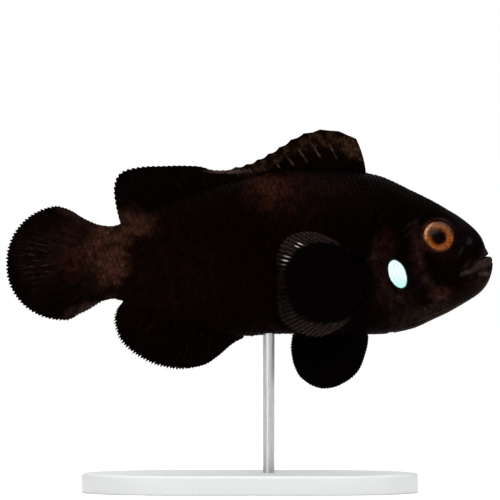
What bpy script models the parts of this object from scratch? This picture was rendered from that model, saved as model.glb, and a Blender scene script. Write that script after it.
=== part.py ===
# A life-size black clownfish on a plain display stand.
# Metres, +Z up. The head points to +X, the right flank faces -Y, and the origin is on the
# table under the middle of the fish, at the centre of the underside of the stand's base.

import math

import bpy
from mathutils import Matrix, Vector

# Driving dimensions
LENGTH = 0.075  # from the lower lip to the rear edge of the tail fin
AXIS_HEIGHT = 0.0356  # the line through the lips and the tail above the table
GAP = 0.0003  # thin cut between neighbouring pieces

# The body at named places: (behind the lips, top, bottom, half width), where each number is
# a share of LENGTH, and top and bottom are measured from the fish's axis.
BODY = {
    "lip tip": (0.0, -0.004, -0.004, 0.0),
    "lips": (0.0093, 0.0175, -0.0423, 0.0233),
    "snout": (0.0237, 0.0526, -0.0612, 0.0347),
    "nostrils": (0.0546, 0.0838, -0.0826, 0.0487),
    "eyes": (0.1103, 0.1195, -0.1136, 0.0633),
    "cheeks": (0.1722, 0.1508, -0.1390, 0.0740),
    "gill edge": (0.2423, 0.1808, -0.1492, 0.0800),
    "shoulders": (0.3351, 0.1928, -0.1485, 0.0793),
    "middle": (0.4381, 0.1856, -0.1484, 0.0733),
    "vent": (0.5206, 0.1691, -0.1526, 0.0633),
    "rear": (0.6237, 0.1381, -0.1330, 0.0480),
    "stalk front": (0.7165, 0.1052, -0.0990, 0.0340),
    "stalk": (0.7825, 0.0728, -0.0740, 0.0240),
    "tail base": (0.8258, 0.0832, -0.0920, 0.0160),
}
WIDEST_LEVEL = 0.47  # height of the widest point, from the bottom (0) to the top (1)
RINGS = 42
RING_SIDES = 32

# Where the flesh is parted
VENT_CUT = 0.520
STALK_CUT = 0.735
GILL_EDGE = {"rear": 0.2526, "level": 0.008, "bow": 1.95}  # a parabola, open to the front
CHEEK_EDGE = {"rear": 0.1660, "level": 0.035, "bow": 2.60}  # front edge of the gill cover
GILL_COVER_TOP = 0.103
GILL_COVER_INNER = 0.0030  # half thickness of the throat between the covers
MOUTH_CORNER = (0.0629, -0.0268)
MOUTH_FRONT = (0.0113, 0.0097)
JAW_HINGE = (0.0948, -0.0800)

# The eye, as shares of LENGTH
EYE = {"behind": 0.1099, "height": 0.0515, "radius": 0.0413, "depth": 0.0213, "sunk": 0.0140}

# Fin outlines, as (behind the lips, height over the axis) shares of LENGTH, front to rear
SPINY_EDGE = ((0.2625, 0.188), (0.2693, 0.2186), (0.2802, 0.2528), (0.3041, 0.2650), (0.3454, 0.2730),
              (0.3969, 0.2608), (0.4546, 0.2258), (0.5, 0.2031), (0.5433, 0.1907))
SOFT_EDGE = ((0.5495, 0.1866), (0.5784, 0.1897), (0.6113, 0.1973), (0.6856, 0.1969), (0.7392, 0.1928),
             (0.7694, 0.1804), (0.7796, 0.1567), (0.7770, 0.1196), (0.7693, 0.0866))
ANAL_EDGE = ((0.5124, -0.1546), (0.5371, -0.1680), (0.5680, -0.1938), (0.5969, -0.2110),
             (0.6443, -0.2182), (0.6959, -0.2082), (0.7371, -0.1856), (0.7660, -0.1577),
             (0.7784, -0.1217), (0.7736, -0.0960), (0.7640, -0.0850))
TAIL_FAN = {"behind": 0.8866, "height": -0.0015, "radii": (0.1135, 0.1165), "first": 88.0, "last": 277.0}
TAIL_CORNERS = ((0.8526, 0.0975), (0.8402, 0.0893)), ((0.8526, -0.1062), (0.8402, -0.1015))
PECTORAL_EDGE = ((0.2789, 0.0110), (0.2979, 0.0278), (0.3371, 0.0501), (0.3763, 0.0619), (0.4134, 0.0557),
                 (0.4392, 0.0320), (0.4464, -0.0041), (0.4443, -0.0454), (0.4433, -0.0866), (0.4340, -0.1196),
                 (0.4010, -0.1423), (0.3639, -0.1526), (0.3268, -0.1402), (0.2938, -0.1175), (0.2762, -0.0950))
PELVIC = {"behind": 0.3396, "height": -0.1750, "radii": (0.0788, 0.0840), "first": 12.0, "last": -200.0}

FIN_ROOT_THICK = 0.0010
FIN_EDGE_THICK = 0.0005
PECTORAL_FLARE = math.radians(31.0)  # out from the flank, towards the rear
PELVIC_SPLAY = math.radians(15.0)  # out from upright
PELVIC_ROOT_OUT = 0.0016

# The stand
BASE_LENGTH = 0.052
BASE_WIDTH = 0.028
BASE_THICK = 0.0030
BASE_BEVEL = 0.0004
ROD_X = 0.0029
ROD_RADIUS = 0.0009
ROD_IN_BODY = 0.0045
ROD_IN_BASE = 0.0018


# ---- small tools ----

def clear_scene():
    for obj in list(bpy.data.objects):
        bpy.data.objects.remove(obj)


def material(name, colour, roughness, metallic=0.0):
    made = bpy.data.materials.new(name)
    made.use_nodes = True
    shader = made.node_tree.nodes["Principled BSDF"]
    shader.inputs["Base Color"].default_value = (*colour, 1.0)
    shader.inputs["Roughness"].default_value = roughness
    shader.inputs["Metallic"].default_value = metallic
    return made


def add_object(name, points, faces, look=None):
    mesh = bpy.data.meshes.new(name)
    mesh.from_pydata(points, [], faces)
    mesh.update()
    if look:
        mesh.materials.append(look)
    obj = bpy.data.objects.new(name, mesh)
    bpy.context.scene.collection.objects.link(obj)
    return obj


def as_cutter(obj):
    obj.hide_render = True
    obj.display_type = "WIRE"
    return obj


def boolean(obj, tool, operation):
    modifier = obj.modifiers.new(f"{operation.lower()} {tool.name}", "BOOLEAN")
    modifier.operation = operation
    modifier.solver = "EXACT"
    modifier.object = tool


def smooth_through(places, values):
    # A cubic through the points that never overshoots them (Fritsch and Carlson).
    steps = [b - a for a, b in zip(places, places[1:])]
    slopes = [(b - a) / step for a, b, step in zip(values, values[1:], steps)]
    bends = [slopes[0]]
    for before, after in zip(slopes, slopes[1:]):
        same_way = before * after > 0
        bends.append(2 * before * after / (before + after) if same_way else 0.0)
    bends.append(slopes[-1])

    def value(place):
        i = max(k for k in range(len(steps)) if k == 0 or places[k] <= place)
        t = min(1.0, max(0.0, (place - places[i]) / steps[i]))
        rise = values[i + 1] - values[i]
        return (values[i] + rise * t * t * (3 - 2 * t)
                + steps[i] * (bends[i] * t * (1 - t) ** 2 - bends[i + 1] * t * t * (1 - t)))

    return value


def curve_through(points, count):
    # A Catmull-Rom curve through the points, read at even steps of its length.
    ends = [tuple(2 * a - b for a, b in zip(points[0], points[1])),
            tuple(2 * a - b for a, b in zip(points[-1], points[-2]))]
    line = [Vector(p) for p in (ends[0], *points, ends[1])]
    fine = []
    for a, b, c, d in zip(line, line[1:], line[2:], line[3:]):
        for step in range(12):
            t = step / 12
            fine.append(0.5 * (2 * b + (c - a) * t + (2 * a - 5 * b + 4 * c - d) * t ** 2
                               + (3 * b - a - 3 * c + d) * t ** 3))
    fine.append(line[-2])
    return even_steps(fine, count)


def even_steps(fine, count):
    far = [0.0]
    for a, b in zip(fine, fine[1:]):
        far.append(far[-1] + (b - a).length)
    found = []
    k = 0
    for step in range(count):
        wanted = far[-1] * step / (count - 1)
        while k < len(far) - 2 and far[k + 1] < wanted:
            k += 1
        t = (wanted - far[k]) / max(far[k + 1] - far[k], 1e-12)
        found.append(fine[k].lerp(fine[k + 1], min(1.0, t)))
    return found


# ---- the body's shape ----

# The profiles are smooth in the square root of the distance, which rounds the nose.
ROOTS = [math.sqrt(row[0]) for row in BODY.values()]
TOP, BOTTOM, HALF_WIDTH = (smooth_through(ROOTS, [row[k] for row in BODY.values()]) for k in (1, 2, 3))


def section(behind):
    # Top, bottom and half width in metres at a share of the length behind the lips.
    root = math.sqrt(max(0.0, behind))
    return (AXIS_HEIGHT + LENGTH * TOP(root), AXIS_HEIGHT + LENGTH * BOTTOM(root),
            LENGTH * HALF_WIDTH(root))


def to_x(behind):
    return LENGTH * (0.5 - behind)


def to_z(height):
    return AXIS_HEIGHT + LENGTH * height


def flank_y(behind, z):
    # How far out the flank lies at a height.
    top, bottom, width = section(behind)
    level = bottom + WIDEST_LEVEL * (top - bottom)
    share = (z - level) / ((top if z > level else bottom) - level)
    return width * math.sqrt(max(0.0, 1 - share * share))


def belly_z(behind, y):
    # The height of the underside at a distance out from the middle.
    top, bottom, width = section(behind)
    level = bottom + WIDEST_LEVEL * (top - bottom)
    return level - (level - bottom) * math.sqrt(max(0.0, 1 - (y / width) ** 2))


def body_mesh():
    last = list(BODY.values())[-1][0]
    rings = []
    for k in range(1, RINGS + 1):
        behind = (math.sqrt(last) * k / RINGS) ** 2
        top, bottom, width = section(behind)
        level = bottom + WIDEST_LEVEL * (top - bottom)
        ring = []
        for side in range(RING_SIDES):
            angle = 2 * math.pi * side / RING_SIDES
            reach = (top if math.cos(angle) > 0 else bottom) - level
            ring.append((to_x(behind), width * math.sin(angle), level + reach * abs(math.cos(angle))))
        rings.append(ring)
    points = [(to_x(0.0), 0.0, section(0.0)[0])] + [p for ring in rings for p in ring]
    faces = []
    for side in range(RING_SIDES):
        after = (side + 1) % RING_SIDES
        faces.append((0, 1 + side, 1 + after))
        for k in range(RINGS - 1):
            a, b = 1 + k * RING_SIDES, 1 + (k + 1) * RING_SIDES
            faces.append((a + side, b + side, b + after, a + after))
    faces.append(tuple(reversed(range(1 + (RINGS - 1) * RING_SIDES, 1 + RINGS * RING_SIDES))))
    mesh = bpy.data.meshes.new("whole body")
    mesh.from_pydata(points, [], faces)
    mesh.update()
    mesh.shade_smooth()
    return mesh


# ---- zones that part the flesh ----

def prism(name, outline, low_y, high_y):
    # A solid with an outline in the XZ plane, given anticlockwise as seen from -Y.
    count = len(outline)
    points = [(x, y, z) for y in (low_y, high_y) for x, z in outline]
    faces = [tuple(range(count)), tuple(reversed(range(count, 2 * count)))]
    for k in range(count):
        after = (k + 1) % count
        faces.append((k, count + k, count + after, after))
    return as_cutter(add_object(name, points, faces))


def parabola(edge, shift, low=-0.30, high=0.30, steps=16):
    # Points up a curved edge, moved forward by shift metres.
    points = []
    for k in range(steps + 1):
        height = low + (high - low) * k / steps
        behind = edge["rear"] - edge["bow"] * (height - edge["level"]) ** 2
        points.append((to_x(behind) + shift, to_z(height)))
    return points


def front_zone():
    edge = parabola(GILL_EDGE, GAP / 2)
    far = LENGTH
    return prism("front zone", [(far, edge[0][1]), (far, edge[-1][1]), *reversed(edge)], -far, far)


def trunk_zone():
    edge = parabola(GILL_EDGE, -GAP / 2)
    back = to_x(VENT_CUT) + GAP / 2
    return prism("trunk zone", [*edge, (back, edge[-1][1]), (back, edge[0][1])], -LENGTH, LENGTH)


def slab(name, front, back):
    low, high = to_z(-0.3), to_z(0.3)
    return prism(name, [(back, low), (front, low), (front, high), (back, high)], -LENGTH, LENGTH)


def jaw_zone(grow):
    # The lower jaw: below the gape and in front of a line down from the mouth's corner.
    corner, front, hinge = (Vector((to_x(b), to_z(h))) for b, h in (MOUTH_CORNER, MOUTH_FRONT, JAW_HINGE))
    gape = (front - corner).normalized()
    up = Vector((-gape.y, gape.x)) * grow
    down = (hinge - corner).normalized()
    back = Vector((down.y, -down.x)) * grow
    past_lips = front + gape * 0.01
    under_chin = hinge + down * 0.01
    outline = [corner + up + back, under_chin + back, (past_lips.x, under_chin.y), past_lips + up]
    return prism(f"jaw zone {grow:.4f}", [tuple(p) for p in outline], -LENGTH, LENGTH)


def gill_cover_zone(side, grow):
    # Between the cheek's edge and the gill edge, on one side of the throat.
    rear = parabola(GILL_EDGE, GAP / 2 - grow, low=-0.17, high=GILL_COVER_TOP + grow / LENGTH)
    front = parabola(CHEEK_EDGE, grow, low=-0.17, high=GILL_COVER_TOP + grow / LENGTH)
    low_y, high_y = GILL_COVER_INNER - grow, LENGTH
    if side < 0:
        low_y, high_y = -high_y, -low_y
    return prism(f"gill cover zone {side} {grow:.4f}", [*front, *reversed(rear)], low_y, high_y)


# ---- eyes ----

def eye_frame(side):
    # The middle of an eyeball and its turn, so that it looks straight out of the head there.
    x, z = to_x(EYE["behind"]), to_z(EYE["height"])
    step = 0.02
    outward = flank_y(EYE["behind"], z)
    per_x = (flank_y(EYE["behind"] - step, z) - flank_y(EYE["behind"] + step, z)) / (2 * step * LENGTH)
    per_z = (flank_y(EYE["behind"], z + step * LENGTH) - flank_y(EYE["behind"], z - step * LENGTH)) / (
        2 * step * LENGTH)
    looks = Vector((-per_x, 1.0, -per_z)).normalized()
    middle = Vector((x, outward, z)) - looks * EYE["sunk"] * LENGTH
    middle.y *= side
    looks.y *= side
    return Matrix.Translation(middle) @ looks.to_track_quat("Z", "Y").to_matrix().to_4x4()


def ball(name, side, grow, look=None, rings=9, sides=18):
    wide, deep = EYE["radius"] * LENGTH + grow, EYE["depth"] * LENGTH + grow
    points = [(0.0, 0.0, deep)]
    for ring in range(1, rings):
        lean = math.pi * ring / rings
        for k in range(sides):
            turn = 2 * math.pi * k / sides
            points.append((wide * math.sin(lean) * math.cos(turn), wide * math.sin(lean) * math.sin(turn),
                           deep * math.cos(lean)))
    points.append((0.0, 0.0, -deep))
    faces = []
    for k in range(sides):
        after = (k + 1) % sides
        faces.append((0, 1 + k, 1 + after))
        for ring in range(rings - 2):
            a, b = 1 + ring * sides, 1 + (ring + 1) * sides
            faces.append((a + k, b + k, b + after, a + after))
        bottom = 1 + (rings - 2) * sides
        faces.append((bottom + k, len(points) - 1, bottom + after))
    obj = add_object(name, points, faces, look)
    obj.data.shade_smooth()
    obj.matrix_world = eye_frame(side)
    return obj


# ---- fins ----

def fin(name, root, edge, look, side_y, rows=5):
    # A thin solid between a root line and an outer edge. side_y(u, r, point) gives how far out
    # the middle of the fin lies. The fin thins from its root to its edge.
    count = len(root)
    points = []
    for face in (-1, 1):
        for u, (start, end) in enumerate(zip(root, edge)):
            for row in range(rows):
                r = row / (rows - 1)
                x, z = Vector(start).lerp(Vector(end), r)
                thick = FIN_ROOT_THICK + (FIN_EDGE_THICK - FIN_ROOT_THICK) * min(1.0, 1.4 * r)
                points.append((x, side_y(u / (count - 1), r, (x, z)) + face * thick / 2, z))
    size = count * rows
    faces = []
    for u in range(count - 1):
        for row in range(rows - 1):
            a, b = u * rows + row, (u + 1) * rows + row
            faces.append((a, b, b + 1, a + 1))
            faces.append((size + a, size + a + 1, size + b + 1, size + b))
    rim = ([(u * rows, (u + 1) * rows) for u in range(count - 1)]
           + [((count - 1) * rows + r, (count - 1) * rows + r + 1) for r in range(rows - 1)]
           + [((u + 1) * rows - 1 + rows, (u + 1) * rows - 1) for u in reversed(range(count - 1))]
           + [(r + 1, r) for r in reversed(range(rows - 1))])
    for a, b in rim:
        faces.append((b, a, size + a, size + b))
    obj = add_object(name, points, faces, look)
    # The walk round the rim decides which way the faces point, so it is settled here.
    if signed_volume(obj.data) < 0:
        obj.data.flip_normals()
    obj.data.shade_smooth()
    obj.data.set_sharp_from_angle(angle=math.radians(40))
    return obj


def signed_volume(mesh):
    total = 0.0
    for face in mesh.polygons:
        corners = [mesh.vertices[k].co for k in face.vertices]
        for b, c in zip(corners[1:], corners[2:]):
            total += corners[0].dot(b.cross(c)) / 6
    return total


def side_points(shares):
    return [(to_x(behind), to_z(height)) for behind, height in shares]


def arc(fan, count):
    # Points round an ellipse in side view; 0 degrees is to the front and 90 is up.
    along, up = fan["radii"]
    points = []
    for k in range(count):
        angle = math.radians(fan["first"] + (fan["last"] - fan["first"]) * k / (count - 1))
        points.append((fan["behind"] - along * math.cos(angle), fan["height"] + up * math.sin(angle)))
    return points


def root_along(first, last, above, count):
    # A root line just clear of the back (above) or of the belly.
    points = []
    for k in range(count):
        behind = first + (last - first) * k / (count - 1)
        top, bottom, _ = section(behind)
        points.append((to_x(behind), top + GAP if above else bottom - GAP))
    return points


def middle_plane(u, r, point):
    # Fins on the middle line ripple a little towards their edges.
    return 0.0004 * math.sin(2 * math.pi * (1.3 * u + 0.1)) * r * r


def spiny_dorsal_fin(look):
    count = 27
    root = root_along(0.2680, 0.5390, True, count)
    fin("dorsal_fin_spiny", root, curve_through(side_points(SPINY_EDGE), count), look, middle_plane)


def soft_dorsal_fin(look):
    count = 25
    root = root_along(0.5515, 0.7640, True, count)
    fin("dorsal_fin_soft", root, curve_through(side_points(SOFT_EDGE), count), look, middle_plane)


def anal_fin(look):
    count = 27
    root = root_along(0.5160, 0.7590, False, count)
    fin("anal_fin", root, curve_through(side_points(ANAL_EDGE), count), look, middle_plane)


def tail_fin(look):
    count = 33
    behind = BODY["tail base"][0] + GAP / LENGTH
    corner = 0.004  # the fin starts this far inside the stalk's own corners
    top, bottom = BODY["tail base"][1] - corner, BODY["tail base"][2] + corner
    root = side_points([(behind, top + (bottom - top) * k / (count - 1)) for k in range(count)])
    fan = arc(TAIL_FAN, 21)
    upper, lower = TAIL_CORNERS
    outline = [(behind, top + corner), *reversed(upper), *fan, *lower, (behind, bottom - corner)]
    edge = curve_through(side_points(outline), count)
    fin("tail_fin", root, edge, look, middle_plane)


def pectoral_fin(name, side, look):
    count = 27
    first, last = (0.2610, -0.004), (0.2632, -0.078)
    root = side_points([(first[0] + (last[0] - first[0]) * k / (count - 1),
                         first[1] + (last[1] - first[1]) * k / (count - 1)) for k in range(count)])
    edge = curve_through(side_points(PECTORAL_EDGE), count)
    root_x = root[0][0]

    def out(u, r, point):
        start = root[round(u * (count - 1))]
        on_flank = flank_y(0.5 - start[0] / LENGTH, start[1]) + GAP + FIN_ROOT_THICK / 2
        back = root_x - point[0]
        return side * (on_flank + max(0.0, back) * math.tan(PECTORAL_FLARE) - 0.0009 * math.sin(math.pi * r))

    fin(name, root, edge, look, out)


def pelvic_fin(name, side, look):
    count = 25
    behind = [0.2620 + 0.045 * k / (count - 1) for k in range(count)]
    inner = PELVIC_ROOT_OUT - FIN_ROOT_THICK / 2
    root = [(to_x(b), belly_z(b, inner) - GAP) for b in behind]
    level = root[0][1]
    edge = curve_through(side_points(arc(PELVIC, 21)), count)

    def out(u, r, point):
        return side * (PELVIC_ROOT_OUT + max(0.0, level - point[1]) * math.tan(PELVIC_SPLAY))

    fin(name, root, edge, look, out)


# ---- the stand ----

def rounded_rectangle(length, width, corner_sides=10):
    radius = width / 2
    points = []
    for sign, start in ((1, -90), (-1, 90)):
        for k in range(corner_sides + 1):
            angle = math.radians(start + 180 * k / corner_sides)
            points.append((sign * (length / 2 - radius) + radius * math.cos(angle), radius * math.sin(angle)))
    return points


def disc_stack(name, levels, look=None):
    # A closed solid through outlines of equal count, each (points, height), bottom to top.
    count = len(levels[0][0])
    points = [(x, y, z) for outline, z in levels for x, y in outline]
    faces = [tuple(reversed(range(count)))]
    for level in range(len(levels) - 1):
        for k in range(count):
            a, b = level * count + k, level * count + (k + 1) % count
            faces.append((a, b, b + count, a + count))
    faces.append(tuple(range((len(levels) - 1) * count, len(levels) * count)))
    return add_object(name, points, faces, look)


def circle(radius, sides=20):
    turns = [2 * math.pi * k / sides for k in range(sides)]
    return [(ROD_X + radius * math.cos(t), radius * math.sin(t)) for t in turns]


def stand_base(look):
    full = rounded_rectangle(BASE_LENGTH, BASE_WIDTH)
    inner = rounded_rectangle(BASE_LENGTH - 2 * BASE_BEVEL, BASE_WIDTH - 2 * BASE_BEVEL)
    levels = [(full, 0.0), (full, BASE_THICK - BASE_BEVEL), (inner, BASE_THICK)]
    base = disc_stack("stand_base", levels, look)
    boolean(base, bore("base bore", BASE_THICK - ROD_IN_BASE - GAP, BASE_THICK + 0.002), "DIFFERENCE")


def bore(name, low, high):
    hole = circle(ROD_RADIUS + GAP)
    return as_cutter(disc_stack(name, [(hole, low), (hole, high)]))


def rod_top():
    return section(0.5 - ROD_X / LENGTH)[1] + ROD_IN_BODY


def stand_rod(look):
    ring = circle(ROD_RADIUS)
    rod = disc_stack("stand_rod", [(ring, BASE_THICK - ROD_IN_BASE), (ring, rod_top())], look)
    rod.data.shade_smooth()
    rod.data.set_sharp_from_angle(angle=math.radians(40))


# ---- assembly ----

def flesh(name, mesh, keep, cuts, look):
    obj = bpy.data.objects.new(name, mesh.copy())
    obj.data.materials.append(look)
    bpy.context.scene.collection.objects.link(obj)
    boolean(obj, keep, "INTERSECT")
    for cut in cuts:
        boolean(obj, cut, "DIFFERENCE")


def main():
    clear_scene()
    skin = material("black brown skin", (0.012, 0.006, 0.004), 0.45)
    fin_look = material("black fin", (0.004, 0.003, 0.003), 0.5)
    spiny_look = material("brown fin", (0.02, 0.01, 0.006), 0.5)
    iris = material("orange iris", (0.35, 0.12, 0.03), 0.15)
    white = material("white stand", (0.8, 0.8, 0.8), 0.4)
    steel = material("brushed steel", (0.6, 0.6, 0.6), 0.3, 1.0)

    body = body_mesh()
    sockets = [as_cutter(ball(f"socket {side}", side, GAP)) for side in (-1, 1)]
    covers = [gill_cover_zone(side, GAP) for side in (-1, 1)]
    flesh("head", body, front_zone(), [*covers, jaw_zone(GAP), *sockets], skin)
    flesh("lower_jaw", body, jaw_zone(0.0), [], skin)
    flesh("gill_cover_right", body, gill_cover_zone(-1, 0.0), [], skin)
    flesh("gill_cover_left", body, gill_cover_zone(1, 0.0), [], skin)
    body_bore = bore("body bore", 0.0, rod_top() + GAP)
    flesh("trunk", body, trunk_zone(), [body_bore], skin)
    tail_front, tail_back = to_x(VENT_CUT) - GAP / 2, to_x(STALK_CUT) + GAP / 2
    flesh("tail", body, slab("tail zone", tail_front, tail_back), [], skin)
    flesh("tail_stalk", body, slab("stalk zone", to_x(STALK_CUT) - GAP / 2, -LENGTH), [], skin)

    for name, side in (("eye_right", -1), ("eye_left", 1)):
        ball(name, side, 0.0, iris)
    spiny_dorsal_fin(spiny_look)
    soft_dorsal_fin(fin_look)
    anal_fin(fin_look)
    tail_fin(fin_look)
    for word, side in (("right", -1), ("left", 1)):
        pectoral_fin(f"pectoral_fin_{word}", side, fin_look)
        pelvic_fin(f"pelvic_fin_{word}", side, fin_look)
    stand_base(white)
    stand_rod(steel)


main()
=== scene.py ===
import math

import bpy
import numpy as np
from mathutils import Matrix, Vector


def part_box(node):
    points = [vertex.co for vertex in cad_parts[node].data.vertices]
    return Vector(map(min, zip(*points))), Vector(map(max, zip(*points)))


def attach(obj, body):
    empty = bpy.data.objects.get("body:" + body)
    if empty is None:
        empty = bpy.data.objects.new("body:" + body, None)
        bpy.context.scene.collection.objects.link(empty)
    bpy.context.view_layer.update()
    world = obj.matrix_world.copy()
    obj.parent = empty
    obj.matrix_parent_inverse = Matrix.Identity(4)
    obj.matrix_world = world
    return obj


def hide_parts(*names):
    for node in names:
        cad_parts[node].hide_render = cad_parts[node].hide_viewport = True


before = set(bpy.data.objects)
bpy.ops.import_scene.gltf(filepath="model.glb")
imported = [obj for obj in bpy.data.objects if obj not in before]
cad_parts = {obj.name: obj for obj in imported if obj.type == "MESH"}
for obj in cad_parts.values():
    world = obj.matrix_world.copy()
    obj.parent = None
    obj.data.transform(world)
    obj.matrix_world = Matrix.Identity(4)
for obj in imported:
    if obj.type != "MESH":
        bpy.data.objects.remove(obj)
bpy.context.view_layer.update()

# A black clownfish on its display stand. Everything is worked out from the frame's boxes:
# length is the fish's own, and places on it are (behind the lips, above the axis) in shares of it.

mm = 0.001
tailLow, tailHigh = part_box("tail_fin")
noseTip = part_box("lower_jaw")[1].x
length = noseTip - tailLow.x
axisHeight = (tailLow.z + tailHigh.z) / 2 + 0.0015 * length  # just above the tail fin's middle
print(f"frame loaded, the fish is {length / mm:.1f} mm long")


def rise(value, start, end):
    # 0 before start, 1 after end and a smooth step between
    t = np.clip((value - start) / (end - start), 0, 1)
    return t * t * (3 - 2 * t)


def bump(value, width):
    return np.exp(-(value / width) ** 2)


def smoothThrough(places, values):
    # a cubic through the points that never overshoots them
    places, values = np.array(places, float), np.array(values, float)
    steps = np.diff(places)
    slopes = np.diff(values) / steps
    bends = np.zeros_like(values)
    bends[0], bends[-1] = slopes[0], slopes[-1]
    before, after = slopes[:-1], slopes[1:]
    sameWay = before * after > 0
    bends[1:-1][sameWay] = 2 * (before * after)[sameWay] / (before + after)[sameWay]

    def value(at):
        i = np.clip(np.searchsorted(places, at, side="right") - 1, 0, len(steps) - 1)
        t = np.clip((at - places[i]) / steps[i], 0, 1)
        return (values[i] + (values[i + 1] - values[i]) * t * t * (3 - 2 * t)
                + steps[i] * (bends[i] * t * (1 - t) ** 2 - bends[i + 1] * t * t * (1 - t)))

    return value


def curveThrough(points, shares):
    # a Catmull-Rom curve, read at shares of its length
    knots = np.array(points, float)
    line = np.vstack([2 * knots[0] - knots[1], knots, 2 * knots[-1] - knots[-2]])
    t = np.linspace(0, 1, 24, endpoint=False)[:, None]
    fine = [0.5 * (2 * b + (c - a) * t + (2 * a - 5 * b + 4 * c - d) * t ** 2
                   + (3 * b - a - 3 * c + d) * t ** 3)
            for a, b, c, d in zip(line, line[1:], line[2:], line[3:])]
    fine = np.vstack([*fine, knots[-1:]])
    far = np.concatenate([[0], np.cumsum(np.linalg.norm(np.diff(fine, axis=0), axis=1))])
    at = np.asarray(shares) * far[-1]
    return np.stack([np.interp(at, far, fine[:, k]) for k in range(2)], axis=1)


def ellipseArc(middle, radii, first, last, count):
    # (behind, height) round an ellipse; 0 degrees is the front and 90 is up
    angle = np.radians(np.linspace(first, last, count))
    return list(zip(middle[0] - radii[0] * np.cos(angle), middle[1] + radii[1] * np.sin(angle)))


def unit(vectors):
    return vectors / np.maximum(np.linalg.norm(vectors, axis=-1, keepdims=True), 1e-12)


def fullTurn(sides):
    # the angles of points spread evenly round a circle
    return np.linspace(0, 2 * np.pi, sides, endpoint=False)


def gridFaces(rows, columns, closed=False):
    # quads of a grid of points stored row after row
    across = np.arange(columns if closed else columns - 1)
    row, column = np.meshgrid(np.arange(rows - 1), across, indexing="ij")
    a = (row * columns + column).ravel()
    b = (row * columns + (column + 1) % columns).ravel()
    return np.stack([a, b, b + columns, a + columns], axis=1)


def gridRim(rows, columns):
    # the points round a grid's edge, in order
    return np.concatenate([np.arange(columns), np.arange(1, rows) * columns + columns - 1,
                           (rows - 1) * columns + np.arange(columns - 2, -1, -1),
                           np.arange(rows - 2, 0, -1) * columns])


def tubeFaces(rings, sides):
    # a tube of rings of points, its ends drawn together in two last points
    ring, last = np.arange(sides), rings * sides
    after = np.roll(ring, -1)
    front = np.stack([np.full(sides, last), ring, after], axis=1)
    rear = np.stack([np.full(sides, last + 1), after + last - sides, ring + last - sides], axis=1)
    return [gridFaces(rings, sides, closed=True)[:, ::-1], front, rear]


def makePiece(name, points, faceSets, material, uv=None, values=None, flatSets=(), stands=()):
    # one mesh object from arrays; faceSets are arrays of quads or triangles, flatSets those shaded flat
    mesh = bpy.data.meshes.new(name)
    sets = [*faceSets, *flatSets]
    points = np.asarray(points, np.float32).reshape(-1, 3)
    corners = np.concatenate([faces.ravel() for faces in sets]).astype(np.int32)
    sizes = np.concatenate([np.full(len(faces), faces.shape[1]) for faces in sets])
    smooth = np.concatenate([np.full(len(faces), k < len(faceSets)) for k, faces in enumerate(sets)])
    mesh.vertices.add(len(points))
    mesh.vertices.foreach_set("co", points.ravel())
    mesh.loops.add(len(corners))
    mesh.loops.foreach_set("vertex_index", corners)
    mesh.polygons.add(len(sizes))
    mesh.polygons.foreach_set("loop_start", (np.cumsum(sizes) - sizes).astype(np.int32))
    mesh.update(calc_edges=True)
    mesh.polygons.foreach_set("use_smooth", smooth)
    if uv is not None:
        layer = mesh.uv_layers.new(name="OFBake")
        layer.uv.foreach_set("vector", np.asarray(uv, np.float32).reshape(-1, 2)[corners].ravel())
    for key, numbers in (values or {}).items():
        numbers = np.asarray(numbers, np.float32)
        kind, field = ("FLOAT_VECTOR", "vector") if numbers.ndim == 2 else ("FLOAT", "value")
        mesh.attributes.new(key, kind, "POINT").data.foreach_set(field, numbers.ravel())
    mesh.materials.append(material)
    mesh.validate()
    piece = bpy.data.objects.new(name, mesh)
    bpy.context.scene.collection.objects.link(piece)
    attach(piece, "root")
    if stands:
        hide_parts(*stands)
    print(f"  {name}: {int((sizes - 2).sum())} triangles")
    return piece


# the body: (behind the lips, top, bottom, half width), in shares of the length
bodyPlan = {
    "lip tip": (0.0, -0.004, -0.004, 0.0),
    "lips": (0.0093, 0.0175, -0.0423, 0.0233),
    "snout": (0.0237, 0.0526, -0.0612, 0.0347),
    "nostrils": (0.0546, 0.0838, -0.0826, 0.0487),
    "eyes": (0.1103, 0.1195, -0.1136, 0.0633),
    "cheeks": (0.1722, 0.1508, -0.1390, 0.0740),
    "gill edge": (0.2423, 0.1808, -0.1492, 0.0800),
    "shoulders": (0.3351, 0.1928, -0.1485, 0.0793),
    "middle": (0.4381, 0.1856, -0.1484, 0.0733),
    "vent": (0.5206, 0.1691, -0.1526, 0.0633),
    "rear": (0.6237, 0.1381, -0.1330, 0.0480),
    "stalk front": (0.7165, 0.1052, -0.0990, 0.0340),
    "stalk": (0.7825, 0.0728, -0.0740, 0.0240),
    "tail base": (0.8258, 0.0800, -0.0880, 0.0140),
    "tail root": (0.8480, 0.0740, -0.0820, 0.0062),
    "root's end": (0.8660, 0.0420, -0.0500, 0.0012),
}
skin = {
    "widestLevel": 0.47,  # from the bottom (0) to the top (1)
    "coat": 0.13 * mm,  # the scales' depth, by which the skin lies inside the solids
    "bareFace": (0.06, 0.13), "bareInset": 0.01 * mm,  # ahead of the scales it comes out to the surface
    "sides": 360,  # points round the body
    "soften": 0.008,  # how far the profiles are smoothed, in square roots of the length
    "profileSteps": 1400,
    "end": 0.866,  # where the flesh ends inside the tail fin
    # from ring to ring of points, in mm, at places along the body
    "spacing": ((0.0, 0.085), (0.07, 0.095), (0.16, 0.12), (0.26, 0.20), (0.40, 0.36), (0.87, 0.36)),
}


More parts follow.
